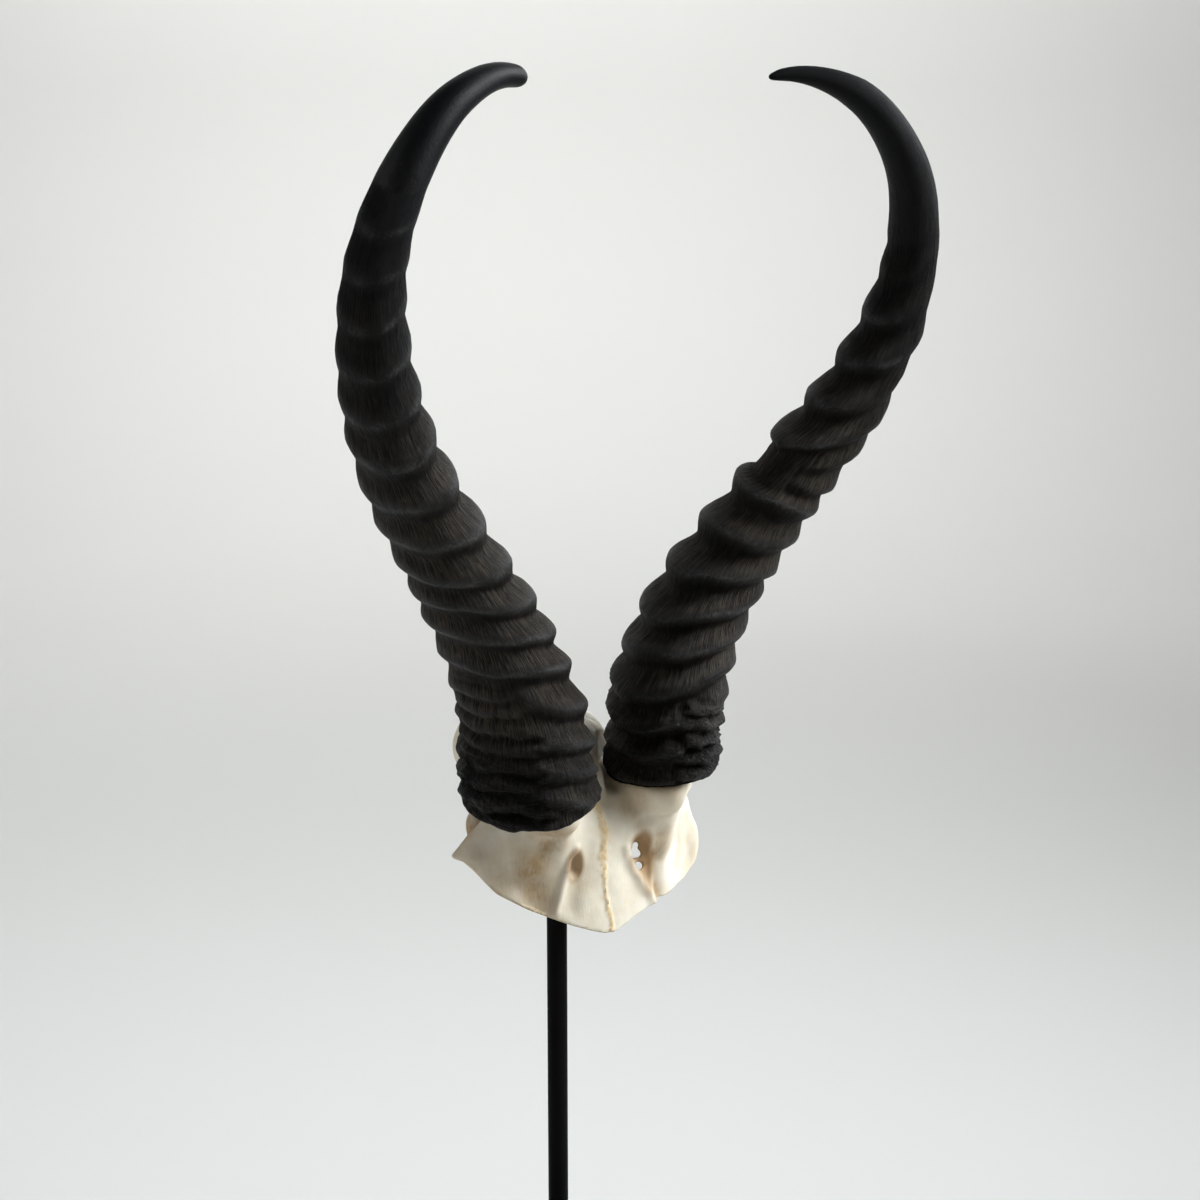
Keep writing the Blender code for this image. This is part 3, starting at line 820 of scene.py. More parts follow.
    def section(self, spine: Spine, s: np.ndarray, turn: np.ndarray, share: np.ndarray,
                swell: np.ndarray) -> np.ndarray:
        """Points of the horn's surface.

        Args:
            spine: The centre line.
            s: Lengths along it.
            turn: Angles round the section, in radians from the front.
            share: Shares of the outer radius.
            swell: How far the surface stands out from the bare section, in mm.

        Returns:
            One row per point, in mm in the cap's frame.
        """
        place, front, outer = spine.frames(s)
        u = spine.share(s)
        radii = (*self.radii, *GROWTH[self.side].tip_radii)
        mean = np.interp(u, np.linspace(0, 1, len(radii)), radii) * share
        oval = self.oval_base + (self.oval_tip - self.oval_base) * u
        forward = np.cos(turn) * (mean * oval + swell)
        sideways = np.sin(turn) * (mean / oval + swell)
        cos_t, sin_t = math.cos(math.radians(self.oval_turn)), math.sin(math.radians(self.oval_turn))
        points = place + front * (forward * cos_t - sideways * sin_t)[:, None]
        points = points + outer * (forward * sin_t + sideways * cos_t)[:, None]
        points[:, 0] *= self.side.sign
        return points

    def relief(self, s: np.ndarray, turn: np.ndarray,
               along: np.ndarray) -> tuple[np.ndarray, dict[str, np.ndarray]]:
        """The relief of the outer face.

        Args:
            s: Lengths from the rim.
            turn: Angles round the section, in radians from the front.
            along: Lengths along the spine.

        Returns:
            The swell in mm, and the values that the finish reads, by name.
        """
        growth = GROWTH[self.side]
        crest, strength, under = self.ring_field(along, turn)
        narrow, patch = self.patch_field(along, turn)
        height = growth.relief * np.interp(along, *zip(*self.heights))
        height = height * (1.05 - 0.25 * np.sin(turn))
        around = np.stack((np.cos(turn), np.sin(turn), np.zeros(len(s))), axis=1)
        lift = np.array((0, 0, 1.0)) * along[:, None]
        smooth = smooth_step(*self.smooth_span, along + 6 * noise_field(around * 2 + lift / 30, 1, 4.2))

        uneven = 1 + self.unevenness * noise_field(around * 1.3 + lift / 9, 1, 8.5 + growth.tip_radii[1])
        broad = height * uneven * (2 * crest * strength - 1)
        fine = height * (1.8 * narrow - 1.2)
        swell = broad * (1 - patch) + fine * patch
        ring = np.clip(crest * strength * (1 - patch) + 0.75 * narrow * patch, 0, 1)

        strands = noise_field(around * 17 + lift * 0.05, 1, 1.5 + growth.tip_radii[1])
        swell = swell + self.strand_height * strands * (1 - 0.8 * ring) * (1 - smooth)
        lumps = noise_field(around * 6 + lift / 3.5, 1, 3.7 + growth.tip_radii[1])
        low = 1 - smooth_step(*self.base_span, along)
        everywhere, added = self.lump_heights
        swell = swell + lumps * (everywhere + added * low) * (1 - 0.85 * smooth)
        ledges = 0.35 - np.abs(noise_field(around * 1.5 + lift / 3.4, 1, 7.7 + growth.tip_radii[1]))
        at_base, in_patch = self.ledge_heights
        swell = swell + ledges * (at_base * low + in_patch * patch * low)
        grit = noise_field(around * 20 + lift / 1.1, 1, 6.1)
        everywhere, added = self.grit_heights
        swell = swell + grit * (everywhere + added * low) * (1 - smooth)
        for chip in growth.chips:
            arc = ((turn - math.radians(chip.turn) + math.pi) % math.tau - math.pi) * self.radii[0]
            off = ((along - chip.along) / self.chip_height) ** 2
            swell = swell + chip.lift * np.exp(-((arc / chip.width) ** 2) - off)
        # where the crest tops get the pale rubbed colour and painted highlight
        wear_and_highlight = np.clip(0.62 + 0.5 * noise_field(around * 2.2 + lift / 25, 1, 9.9) + 0.2 * (1 - low), 0, 1)
        # no painted shade under the crests in the patch or on the smooth tip
        under = under * (1 - patch) * (1 - smooth)
        inner, outer = growth.foot
        foot = (outer + inner) / 2 + (outer - inner) / 2 * np.sin(turn)
        swell = swell * smooth_step(-0.5, 3.5, s) + foot * (1 - smooth_step(5, 30, along))
        return swell, {"ring": ring, "wear_and_highlight": wear_and_highlight, "smooth": smooth, "under": under,
                       "coarse": low * (0.35 + 0.65 * patch), "upper": smooth_step(*self.slate_span, along)}

    def build(self) -> bpy.types.Mesh:
        """The sheath's mesh, with its UV map, its painted attributes and its grain."""
        growth = GROWTH[self.side]
        spine = Spine()
        lengths, shares = self.stations(spine.length)
        bm = bmesh.new()
        bm.loops.layers.uv.new("UVMap")
        bmesh.ops.create_grid(bm, x_segments=self.columns, y_segments=len(lengths) - 1, size=1, calc_uvs=True)
        grid = np.array([vert.co[:2] for vert in bm.verts])
        turn = math.pi * (grid[:, 0] + 1)
        row = np.rint((grid[:, 1] + 1) / 2 * (len(lengths) - 1)).astype(int)
        s, share = lengths[row], shares[row]

        level, front_drop, side_drop = growth.rim
        rim = level - front_drop * np.cos(turn) - side_drop * np.sin(turn)
        ring_round = np.stack((np.cos(turn), np.sin(turn), np.zeros(len(turn))), axis=1)
        ragged = noise_field(ring_round, 0.45, 3.3) + 0.5 * noise_field(ring_round, 0.11, 5.5)
        rim = rim + ragged * np.clip(1 - s / 6, 0, 1) * np.clip(share * 3 - 2, 0.3, 1)
        along = s + rim * np.clip(1 - s / self.rim_fade, 0, 1)
        outside = row >= int(np.argmax(shares > self.rim_share))
        swell, painted = self.relief(s, turn, along)
        points = self.section(spine, along, turn, share, np.where(outside, swell, 0))

        layers = bm.verts.layers
        named = [(layers.float.new(name), values * outside) for name, values in painted.items()]
        grain_layer = layers.float_vector.new("grain")
        grain = np.stack((self.grain_round * np.cos(turn), self.grain_round * np.sin(turn),
                          along / self.grain_length), axis=1)
        for index, vert in enumerate(bm.verts):
            vert.co = CAP_TO_WORLD @ Vector(points[index])
            vert[grain_layer] = grain[index]
            for layer, values in named:
                vert[layer] = values[index]
        bmesh.ops.remove_doubles(bm, verts=bm.verts, dist=1e-7)
        rims = [edge for edge in bm.edges if edge.is_boundary]
        ends = bmesh.ops.holes_fill(bm, edges=rims, sides=self.columns)["faces"]
        bmesh.ops.poke(bm, faces=ends)
        return to_mesh(bm, self.name)


@dataclass(frozen=True)
class Lump:
    """An ellipsoid of bone, or of the air inside it, in mm in the cap's frame."""

    centre: Triple
    half: Triple

    def distance(self, points: np.ndarray) -> np.ndarray:
        """How far points lie from the centre, where 1 is on the ellipsoid."""
        return np.linalg.norm((points - np.array(self.centre)) / np.array(self.half), axis=1)


@dataclass(frozen=True)
class Stroke:
    """A ridge or a furrow of the forehead, along points given across and up, in mm in the cap's frame."""

    path: tuple[Pair, ...]
    width: float
    height: float
    # stain and painted shade, recess shade, and a whiter tone with painted highlight, painted along the
    # stroke
    stain_and_shade: float = 0.0
    cavity: float = 0.0
    chalk_and_highlight: float = 0.0


@dataclass
class SkullCap(Piece):
    """The sawn cap: lumps fused at one grain, hollowed and sawn, then remeshed fine and worked over."""

    coarse: float = 1.3  # grain of the fused lumps, in mm
    fine: float = 0.72
    forehead_half: float = 56
    saw_slope: float = 0.55
    nose: Pair = (-9, -64)  # y and z of the lowest point
    seat_z: float = 3.2  # of the flat under the roof that bears on the steel disc
    seat_radius: float = 12
    seat_room: float = 30  # how far down the room under it goes
    saw_size: float = 200  # of the block below the saw's plane
    edge_reach: float = 120  # how far down and back the forehead's lower edge is cut
    stub_centre: Triple = (26, 1, 1)
    stub_half: Pair = (12, 17.5)  # across and along the section
    stub_height: float = 22
    clearance_span: Pair = (-14, 60)
    clearance_rows: int = 20
    clearance_swell: float = 1.7
    hole_length: float = 60
    hole_shift: float = 22  # how far behind its place a hole's middle lies
    hole_grain: float = 0.45
    rim_reach: float = 32  # how far from a horn's middle the bone under its rim gets stain and painted shade
    rim_shade_depth: float = 5
    rim_stain_and_shade: float = 0.35
    # painted shade on the inner faces that face down
    inner_underside_shade: float = 0.45
    lump_heights: Pair = (0.35, 0.1)  # of the bone's broad and fine unevenness
    sawn_band: Pair = (0.5, 1.3)  # how far above the saw's cut the spongy face fades out
    lumps: tuple[Lump, ...] = (
        Lump((0, 46, -4), (29.5, 36, 20.5)),  # braincase
        Lump((0, 24, -9), (9, 26, 19)),  # crown between the horns
        Lump((0, 17, -30), (30, 19, 26)),  # body behind the forehead
        Lump((-52, 15.5, -28), (3.6, 2.6, 2.2)),  # spur of the left brow
        Lump((-40.5, 21, -20), (4.2, 5, 7)),  # stump of the bar behind the left eye
        Lump((48.5, 14, -44), (9.5, 5.5, 14)),  # rim over the right eye
    )
    lumps_under_horns: tuple[Lump, ...] = (
        Lump((23.6, 1, -6), (12, 22, 16)),  # pedicle
        Lump((26, 8, -24), (15, 14.5, 22)),  # its foot
        Lump((42, 13.5, -28), (10, 7, 8)),  # brow
        Lump((26, 30, -18), (7, 11, 9)),  # wall behind the eye socket
    )
    hollows: tuple[Lump, ...] = (
        Lump((0, 46, -10.5), (23.5, 29, 16.5)),
        Lump((0, 28, -40), (23, 21, 33)),
        Lump((-56, 23, -55), (25, 25, 24)),
        Lump((60, 43, -62), (25, 26, 28)),
    )
    pits: tuple[Lump, ...] = (
        Lump((-14.1, -10.6, -33.4), (4.4, 7.9, 7.2)),
        Lump((16.2, -10.5, -35.5), (5.8, 9.5, 9)),
        Lump((20.4, -9.5, -43), (4.0, 7.2, 10)),
    )
    lower_edge: tuple[Pair, ...] = (
        (-70, -27), (-54, -28.5), (-50, -30), (-47.5, -33), (-45, -37.5), (-41, -42.5), (-31, -49),
        (-15, -57), (-3, -62), (3, -62.5), (13, -59), (26, -56), (38, -55.5), (49, -54.5), (57, -51),
        (61, -43), (70, -36))
    sight: Triple = (0.537, 0.766, -0.353)  # the way the three small holes run
    holes: tuple[tuple[float, float, float, float], ...] = (
        (14.4, -4.6, -31.0, 1.3), (13.0, -5.0, -34.1, 2.1), (15.0, -5.0, -34.7, 1.6),
        (15.4, -5.1, -39.8, 1.8))  # each one's place and radius

    browned_and_shaded: tuple[tuple[Lump, float], ...] = (  # where stain and painted shade darken the bone, and how strongly
        (Lump((-46, 21, -22), (13, 13, 12)), 1.0),  # hollow behind the left brow
        (Lump((-32, -5, -34), (13, 14, 20)), 0.8),  # left of the left pit
        (Lump((-28, -11, -22), (17, 14, 11)), 0.55),
        (Lump((50, 8, -42), (15, 17, 20)), 0.28),  # rim over the right eye
        (Lump((-40, 2, -34), (24, 24, 22)), 0.45),
        (Lump((-27, -14, -16), (17, 13, 7)), 0.7),  # under the left sheath
        (Lump((25, -4, -32), (7, 14, 16)), 0.6),  # beside the right pit
        (Lump((21, -7, -41), (8, 10, 14)), 1.0),
        (Lump((12, -8, -13), (7, 14, 10)), 0.6),
        (Lump((35, 2, -8), (8, 18, 5)), 0.9),
    )
    # furrows carry stain and painted shade, ridges a whiter tone and painted highlight
    strokes: tuple[Stroke, ...] = (
        Stroke(((-14, -26), (-16.8, -31.6), (-17.8, -37.4), (-19.7, -44.5), (-21.5, -50)), 1.7, 1.4,
               chalk_and_highlight=0.6),
        Stroke(((-12.6, -36), (-14, -43), (-15, -50)), 3.2, -0.9, stain_and_shade=0.25),
        Stroke(((-28, -22), (-30, -32), (-29.5, -41), (-27, -47)), 6.0, -1.8, stain_and_shade=0.85),
        Stroke(((-36, -26), (-37, -38)), 5.0, -0.6, stain_and_shade=0.35),
        Stroke(((9.4, -31), (11.5, -38), (16, -46), (22, -54), (24, -57)), 2.0, 1.3, chalk_and_highlight=0.7),
        Stroke(((21.5, -38), (23.5, -46), (25.3, -55)), 2.4, -0.8, stain_and_shade=0.8, cavity=0.2),
        Stroke(((31, -19), (29, -27), (28, -34), (29.3, -43), (31, -51)), 4.2, 1.5, chalk_and_highlight=0.5),
        Stroke(((41.5, -28), (41.5, -39), (39, -48)), 2.0, -0.8, stain_and_shade=0.2),
        Stroke(((15, -22), (15.5, -28)), 3.2, -0.8, stain_and_shade=0.6),
        Stroke(((-7, -28), (-8, -42)), 3.0, -0.3, stain_and_shade=0.15),
    )
    suture: tuple[Pair, ...] = (
        (-2.2, -6), (-1.6, -11), (-1.3, -18), (0, -24), (-1.2, -30.6), (-1.6, -38), (-0.9, -48),
        (0.3, -57), (1.3, -63))
    crown_sutures: tuple[tuple[Pair, ...], ...] = (
        ((-1.2, 8), (0.9, 20), (-0.8, 33), (0.8, 46), (-0.5, 57), (0.4, 68)),
        ((-31, 24), (-22, 29), (-12, 30), (0, 34), (11, 31), (21, 29.5), (31, 24)),
        ((-27, 66), (-17, 71), (0, 69), (16, 71), (27, 66)))

    def add_lump(self, bm: bmesh.types.BMesh, lump: Lump, side: Side | None = None) -> None:
        """Adds a closed ellipsoid; with a side it is mirrored there and cut flat under that sheath's rim."""
        made = bmesh.new()
        sign = side.sign if side else 1
        centre = (lump.centre[0] * sign, *lump.centre[1:])
        bmesh.ops.create_icosphere(made, subdivisions=4, radius=1,
                                   matrix=Matrix.Translation(centre) @ Matrix.Diagonal((*lump.half, 1)))
        if side:
            point, normal = self.rim_plane(side)
            geometry = made.verts[:] + made.edges[:] + made.faces[:]
            bmesh.ops.bisect_plane(made, geom=geometry, plane_co=point, plane_no=normal, clear_outer=True)
            bmesh.ops.holes_fill(made, edges=made.edges[:], sides=0)
        merge(bm, made)

    def rim_plane(self, side: Side) -> tuple[Triple, Triple]:
        """A point of the sheath's rim plane, just under it, and the plane's upward normal."""
        level, front_drop, side_drop = GROWTH[side].rim
        radius, oval, turn = HornSheath.radii[0], HornSheath.oval_base, math.radians(HornSheath.oval_turn)
        front, outer = front_drop / (radius * oval), side_drop / (radius / oval)
        across = side.sign * (outer * math.cos(turn) + front * math.sin(turn))
        back = outer * math.sin(turn) - front * math.cos(turn)
        x, y, _ = Spine.POINTS[0]
        return (x * side.sign, y, level - GAP), (across, back, 1)

    def forehead_face(self, x: np.ndarray, z: np.ndarray) -> np.ndarray:
        """How far back the forehead's face lies at a place across and up it."""
        base = -5.5 + 0.0068 * x**2 - 0.09 * (-z - 25) + 0.03 * np.maximum(z + 22, 0) ** 2
        under_horn = np.exp(-(((np.abs(x) - 26) / 12) ** 2)) * smooth_step(-40, -10, np.asarray(z, float))
        return base - 15 * under_horn

    def add_forehead(self, bm: bmesh.types.BMesh) -> None:
        """Adds the frontal bones: a plate curved round the front, thinner towards the sides."""
        plate = bmesh.new()
        bmesh.ops.create_grid(plate, x_segments=60, y_segments=36, size=1)
        for vert in plate.verts:
            x = vert.co.x * self.forehead_half
            top = -10 - 0.045 * max(abs(x) - 34, 0) ** 2
            z = top + (self.nose[1] - 4 - top) * (vert.co.y + 1) / 2
            vert.co = (x, float(self.forehead_face(x, z)), z)
        grown = bmesh.ops.extrude_face_region(plate, geom=plate.faces[:])["geom"]
        for vert in vertices_of(grown):
            vert.co.y += 9 - 6 * (vert.co.x / self.forehead_half) ** 2
        merge(bm, plate)

    def add_stub(self, bm: bmesh.types.BMesh, side: Side) -> None:
        """Adds the end of the bony core, an oval column up into the sheath's socket."""
        column = bmesh.new()
        x, y, z = self.stub_centre
        place = Matrix.Translation((x * side.sign, y, z))
        turn = Matrix.Rotation(-math.radians(HornSheath.oval_turn) * side.sign, 4, "Z")
        bmesh.ops.create_cone(column, cap_ends=True, segments=64, radius1=1, radius2=0.9, depth=1,
                              matrix=place @ turn @ Matrix.Diagonal((*self.stub_half, self.stub_height, 1)))
        merge(bm, column)

    def fused(self) -> bpy.types.Mesh:
        """The solid cap before it is hollowed."""
        bm = bmesh.new()
        for lump in self.lumps:
            self.add_lump(bm, lump)
        for side in Side:
            for lump in self.lumps_under_horns:
                self.add_lump(bm, lump, side)
            self.add_stub(bm, side)
        self.add_forehead(bm)
        mesh = to_mesh(bm, "fused_lumps")
        return evaluated(mesh, ("REMESH", {"mode": "VOXEL", "voxel_size": self.coarse}),
                         ("SMOOTH", {"factor": 0.5, "iterations": 12}))

    def under_saw(self) -> bmesh.types.BMesh:
        """All below the saw's cuts: one plane rising to the back, and the forehead's own lower edge."""
        bm = bmesh.new()
        tilt = Matrix.Rotation(math.atan(self.saw_slope), 4, "X")
        drop = Matrix.Translation((0, 0, -self.saw_size / 2))
        block = Matrix.Diagonal((2 * self.saw_size, 2 * self.saw_size, self.saw_size, 1))
        bmesh.ops.create_cube(bm, size=1, matrix=Matrix.Translation((0, *self.nose)) @ tilt @ drop @ block)
        below = bmesh.new()
        outline = [(self.lower_edge[0][0], -self.edge_reach), *self.lower_edge,
                   (self.lower_edge[-1][0], -self.edge_reach)]
        face = below.faces.new([below.verts.new((x, -self.edge_reach / 2, z)) for x, z in outline])
        wall = bmesh.ops.extrude_face_region(below, geom=[face])["geom"]
        bmesh.ops.translate(below, vec=(0, self.edge_reach, 0), verts=vertices_of(wall))
        merge(bm, below)
        return bm

    def openings(self) -> bpy.types.Mesh:
        """What the cap loses: its chambers, eye sockets and pits, and all below the saw."""
        bm = self.under_saw()
        for lump in (*self.hollows, *self.pits):
            self.add_lump(bm, lump)
        seat = bmesh.new()
        place = Matrix.Translation((0, -CAP_ORIGIN.y, self.seat_z - self.seat_room / 2))
        add_cylinder(seat, place, self.seat_radius, self.seat_room)
        merge(bm, seat)
        return evaluated(to_mesh(bm, "openings"), ("REMESH", {"mode": "VOXEL", "voxel_size": self.coarse}))

    def clearance(self, side: Side) -> bpy.types.Mesh:
        """The room that a sheath takes up, a little swollen, as a closed tube above the rim."""
        point, normal = self.rim_plane(side)
        bm = bmesh.new()
        spine = Spine()
        rows = np.linspace(*self.clearance_span, self.clearance_rows)
        bmesh.ops.create_grid(bm, x_segments=64, y_segments=len(rows) - 1, size=1)
        sheath = HornSheath("clearance", "", Slot.HORN, side=side)
        grid = np.array([vert.co[:2] for vert in bm.verts])
        turn = math.pi * (grid[:, 0] + 1)
        s = rows[np.rint((grid[:, 1] + 1) / 2 * (len(rows) - 1)).astype(int)]
        points = sheath.section(spine, s, turn, np.ones(len(s)), np.full(len(s), self.clearance_swell))
        for vert, co in zip(bm.verts, points):
            vert.co = co
        bmesh.ops.remove_doubles(bm, verts=bm.verts, dist=1e-4)
        bmesh.ops.holes_fill(bm, edges=[e for e in bm.edges if e.is_boundary], sides=0)
        geometry = bm.verts[:] + bm.edges[:] + bm.faces[:]
        bmesh.ops.bisect_plane(bm, geom=geometry, plane_co=point, plane_no=normal, clear_inner=True)
        bmesh.ops.holes_fill(bm, edges=[e for e in bm.edges if e.is_boundary], sides=0)
        return to_mesh(bm, "clearance")

    def see_through(self) -> bpy.types.Mesh:
        """The three small holes in the right pit."""
        bm = bmesh.new()
        sight = Vector(self.sight).normalized()
        for x, y, z, radius in self.holes:
            tool = bmesh.new()
            turn = sight.to_track_quat("Z", "Y").to_matrix().to_4x4()
            place = Matrix.Translation(Vector((x, y, z)) + sight * self.hole_shift) @ turn
            add_cylinder(tool, place, radius, self.hole_length, sides=20)
            merge(bm, tool)
        remesh = ("REMESH", {"mode": "VOXEL", "voxel_size": self.hole_grain})
        return evaluated(to_mesh(bm, "see_through"), remesh)

    def build(self) -> bpy.types.Mesh:
        """The cap's mesh, in metres, with its attributes."""
        mesh = minus(self.fused(), self.openings())
        for side in Side:
            mesh = minus(mesh, self.clearance(side))
        mesh = self.with_stubs(minus(mesh, self.see_through()))
        mesh = evaluated(mesh, ("REMESH", {"mode": "VOXEL", "voxel_size": self.fine}),
                         ("SMOOTH", {"factor": 0.5, "iterations": 4}))
        surface = CapSurface(mesh, self)
        surface.draw_strokes()
        surface.draw_sutures()
        surface.find_sawn_faces()
        surface.stain_and_shade()
        surface.write()
        mesh.transform(CAP_TO_WORLD)
        mesh.update()
        return mesh

    def with_stubs(self, mesh: bpy.types.Mesh) -> bpy.types.Mesh:
        """Puts the ends of the bony cores back after the sheaths' room was cut."""
        bm = bmesh.new()
        bm.from_mesh(mesh)
        for side in Side:
            self.add_stub(bm, side)
        return to_mesh(bm, "cap_with_stubs")


class CapSurface:
    """The cap's surface while it is worked over: how far each vertex rises, and what is painted there."""

    def __init__(self, mesh: bpy.types.Mesh, cap: SkullCap) -> None:
        """Measures the remeshed cap, in mm in its own frame."""
        self.mesh, self.cap = mesh, cap
        self.co, self.out = coordinates(mesh), normals(mesh)
        self.face = self.co[:, 1] - cap.forehead_face(self.co[:, 0], self.co[:, 2])
        self.rise = np.zeros(len(self.co))
        self.painted = {name: np.zeros(len(self.co))
                        for name in ("stain_and_shade", "cavity", "suture", "sawn", "chalky_and_highlit")}

    def add(self, name: str, values: np.ndarray) -> None:
        """Paints the values wherever they are stronger than what is there."""
        self.painted[name] = np.maximum(self.painted[name], values)

    def draw_strokes(self) -> None:
        """Raises the forehead's ridges and sinks its furrows, paints stain and painted shade into the
        furrows, and a whiter tone with painted highlight along the ridges.
        """
        front = smooth_step(0.05, 0.4, -self.out[:, 1]) * (1 - smooth_step(2.5, 6, self.face))
        front = front * (self.co[:, 2] < -4)
        for stroke in self.cap.strokes:
            gap, _ = distance_to_path(self.co[:, [0, 2]], stroke.path)
            weight = np.exp(-((gap / stroke.width) ** 2)) * front
            self.rise += stroke.height * weight
            # stain and painted shade in the furrows, a whiter tone and painted highlight on the ridges
            self.add("stain_and_shade", stroke.stain_and_shade * weight)
            self.add("cavity", stroke.cavity * weight)
            self.add("chalky_and_highlit", stroke.chalk_and_highlight * weight)

    def draw_sutures(self) -> None:
        """Raises the forehead's suture and the temple lines, and sinks the crown's sutures."""
        co, out = self.co, self.out
        wander = 0.9 * noise_field(co, 3.0, 2.0) + 0.8 * noise_field(co, 1.3, 5.0)  # in mm
        moved = co[:, [0, 2]] + np.stack((wander, np.zeros(len(co))), axis=1)
        gap, share = distance_to_path(moved, self.cap.suture)
        width = 0.7 + 0.8 * (1 - smooth_step(0.5, 0.75, share)) + 0.4 * noise_field(co, 2.2, 8.0)
        seam = np.exp(-((gap / width) ** 2)) * smooth_step(0.0, 0.3, -out[:, 1]) * (self.face < 8)
        grains = noise_field(co, 1.1, 7.0)
        self.rise += seam * (0.4 + 0.7 * grains)
        self.add("suture", seam)

        crown = smooth_step(0.15, 0.5, out[:, 2]) * (co[:, 1] > 6)
        for path in self.cap.crown_sutures:
            gap, _ = distance_to_path(co[:, :2] + np.stack((wander, 0.8 * grains), axis=1), path)
            line = np.exp(-((gap / 0.75) ** 2)) * crown
            self.rise -= 0.45 * line
            self.add("suture", 0.8 * line)
        oval = np.hypot(co[:, 0] / 1.25, (co[:, 1] - 44) / 1.5)
        temple_lines = np.exp(-(((oval - 19) / 1.6) ** 2)) * crown * (np.abs(co[:, 0]) > 14)
        self.rise += 0.5 * temple_lines

    def find_sawn_faces(self) -> None:
        """Marks the faces that the saw left, and makes all others slightly uneven."""
        co, cap = self.co, self.cap
        saw_height = cap.nose[1] + cap.saw_slope * (co[:, 1] - cap.nose[0])
        cut = np.maximum(saw_height, np.interp(co[:, 0], *zip(*cap.lower_edge)))
        sawn = (1 - smooth_step(*cap.sawn_band, co[:, 2] - cut)) * smooth_step(0.2, 0.6, -self.out[:, 2])
        self.add("sawn", sawn)
        broad, small = cap.lump_heights
        lumps = noise_field(co, 9.0, 1.0) * broad + noise_field(co, 3.2, 3.0) * small
        self.rise += lumps * (1 - sawn)

    def stain_and_shade(self) -> None:
        """Paints shade into the pits, stain and painted shade into the listed places and onto the bone under
        the sheaths' rims, and painted shade onto the inner faces that face down.
        """
        co, cap = self.co, self.cap
        # painted shade in the pits, darker towards their upper walls
        for pit in cap.pits:
            inside = 1 - smooth_step(1.0, 1.35, pit.distance(co))
            higher = smooth_step(-1.2, 0.6, (co[:, 2] - pit.centre[2]) / pit.half[2])
            self.add("cavity", inside * (co[:, 1] < 6) * (0.5 + 0.4 * higher))
        # stain and painted shade in the listed places
        for patch, strength in cap.browned_and_shaded:
            self.add("stain_and_shade", strength * (1 - smooth_step(0.2, 1.15, patch.distance(co))))
        for side in Side:
            # stain and painted shade on the bone just under each sheath's rim, fading downwards
            point, normal = cap.rim_plane(side)
            depth = -(co - np.array(point)) @ np.array(normal) / np.linalg.norm(normal)
            near = (np.hypot(co[:, 0] - point[0], co[:, 1] - point[1]) < cap.rim_reach) * (depth > -1)
            fading = np.exp(-((np.maximum(depth, 0) / cap.rim_shade_depth) ** 2))
            self.add("stain_and_shade", cap.rim_stain_and_shade * (near * fading))
        # painted shade on the inner faces that face down, kept off the sawn faces
        inner = smooth_step(0.1, 0.7, -self.out[:, 2]) * (self.face > 6) * (1 - self.painted["sawn"])
        self.add("stain_and_shade", cap.inner_underside_shade * inner)

    def write(self) -> None:
        """Moves the mesh's vertices and paints them."""
        self.mesh.vertices.foreach_set("co", (self.co + self.out * self.rise[:, None]).ravel())
        for name, values in self.painted.items():
            paint(self.mesh, name, values)


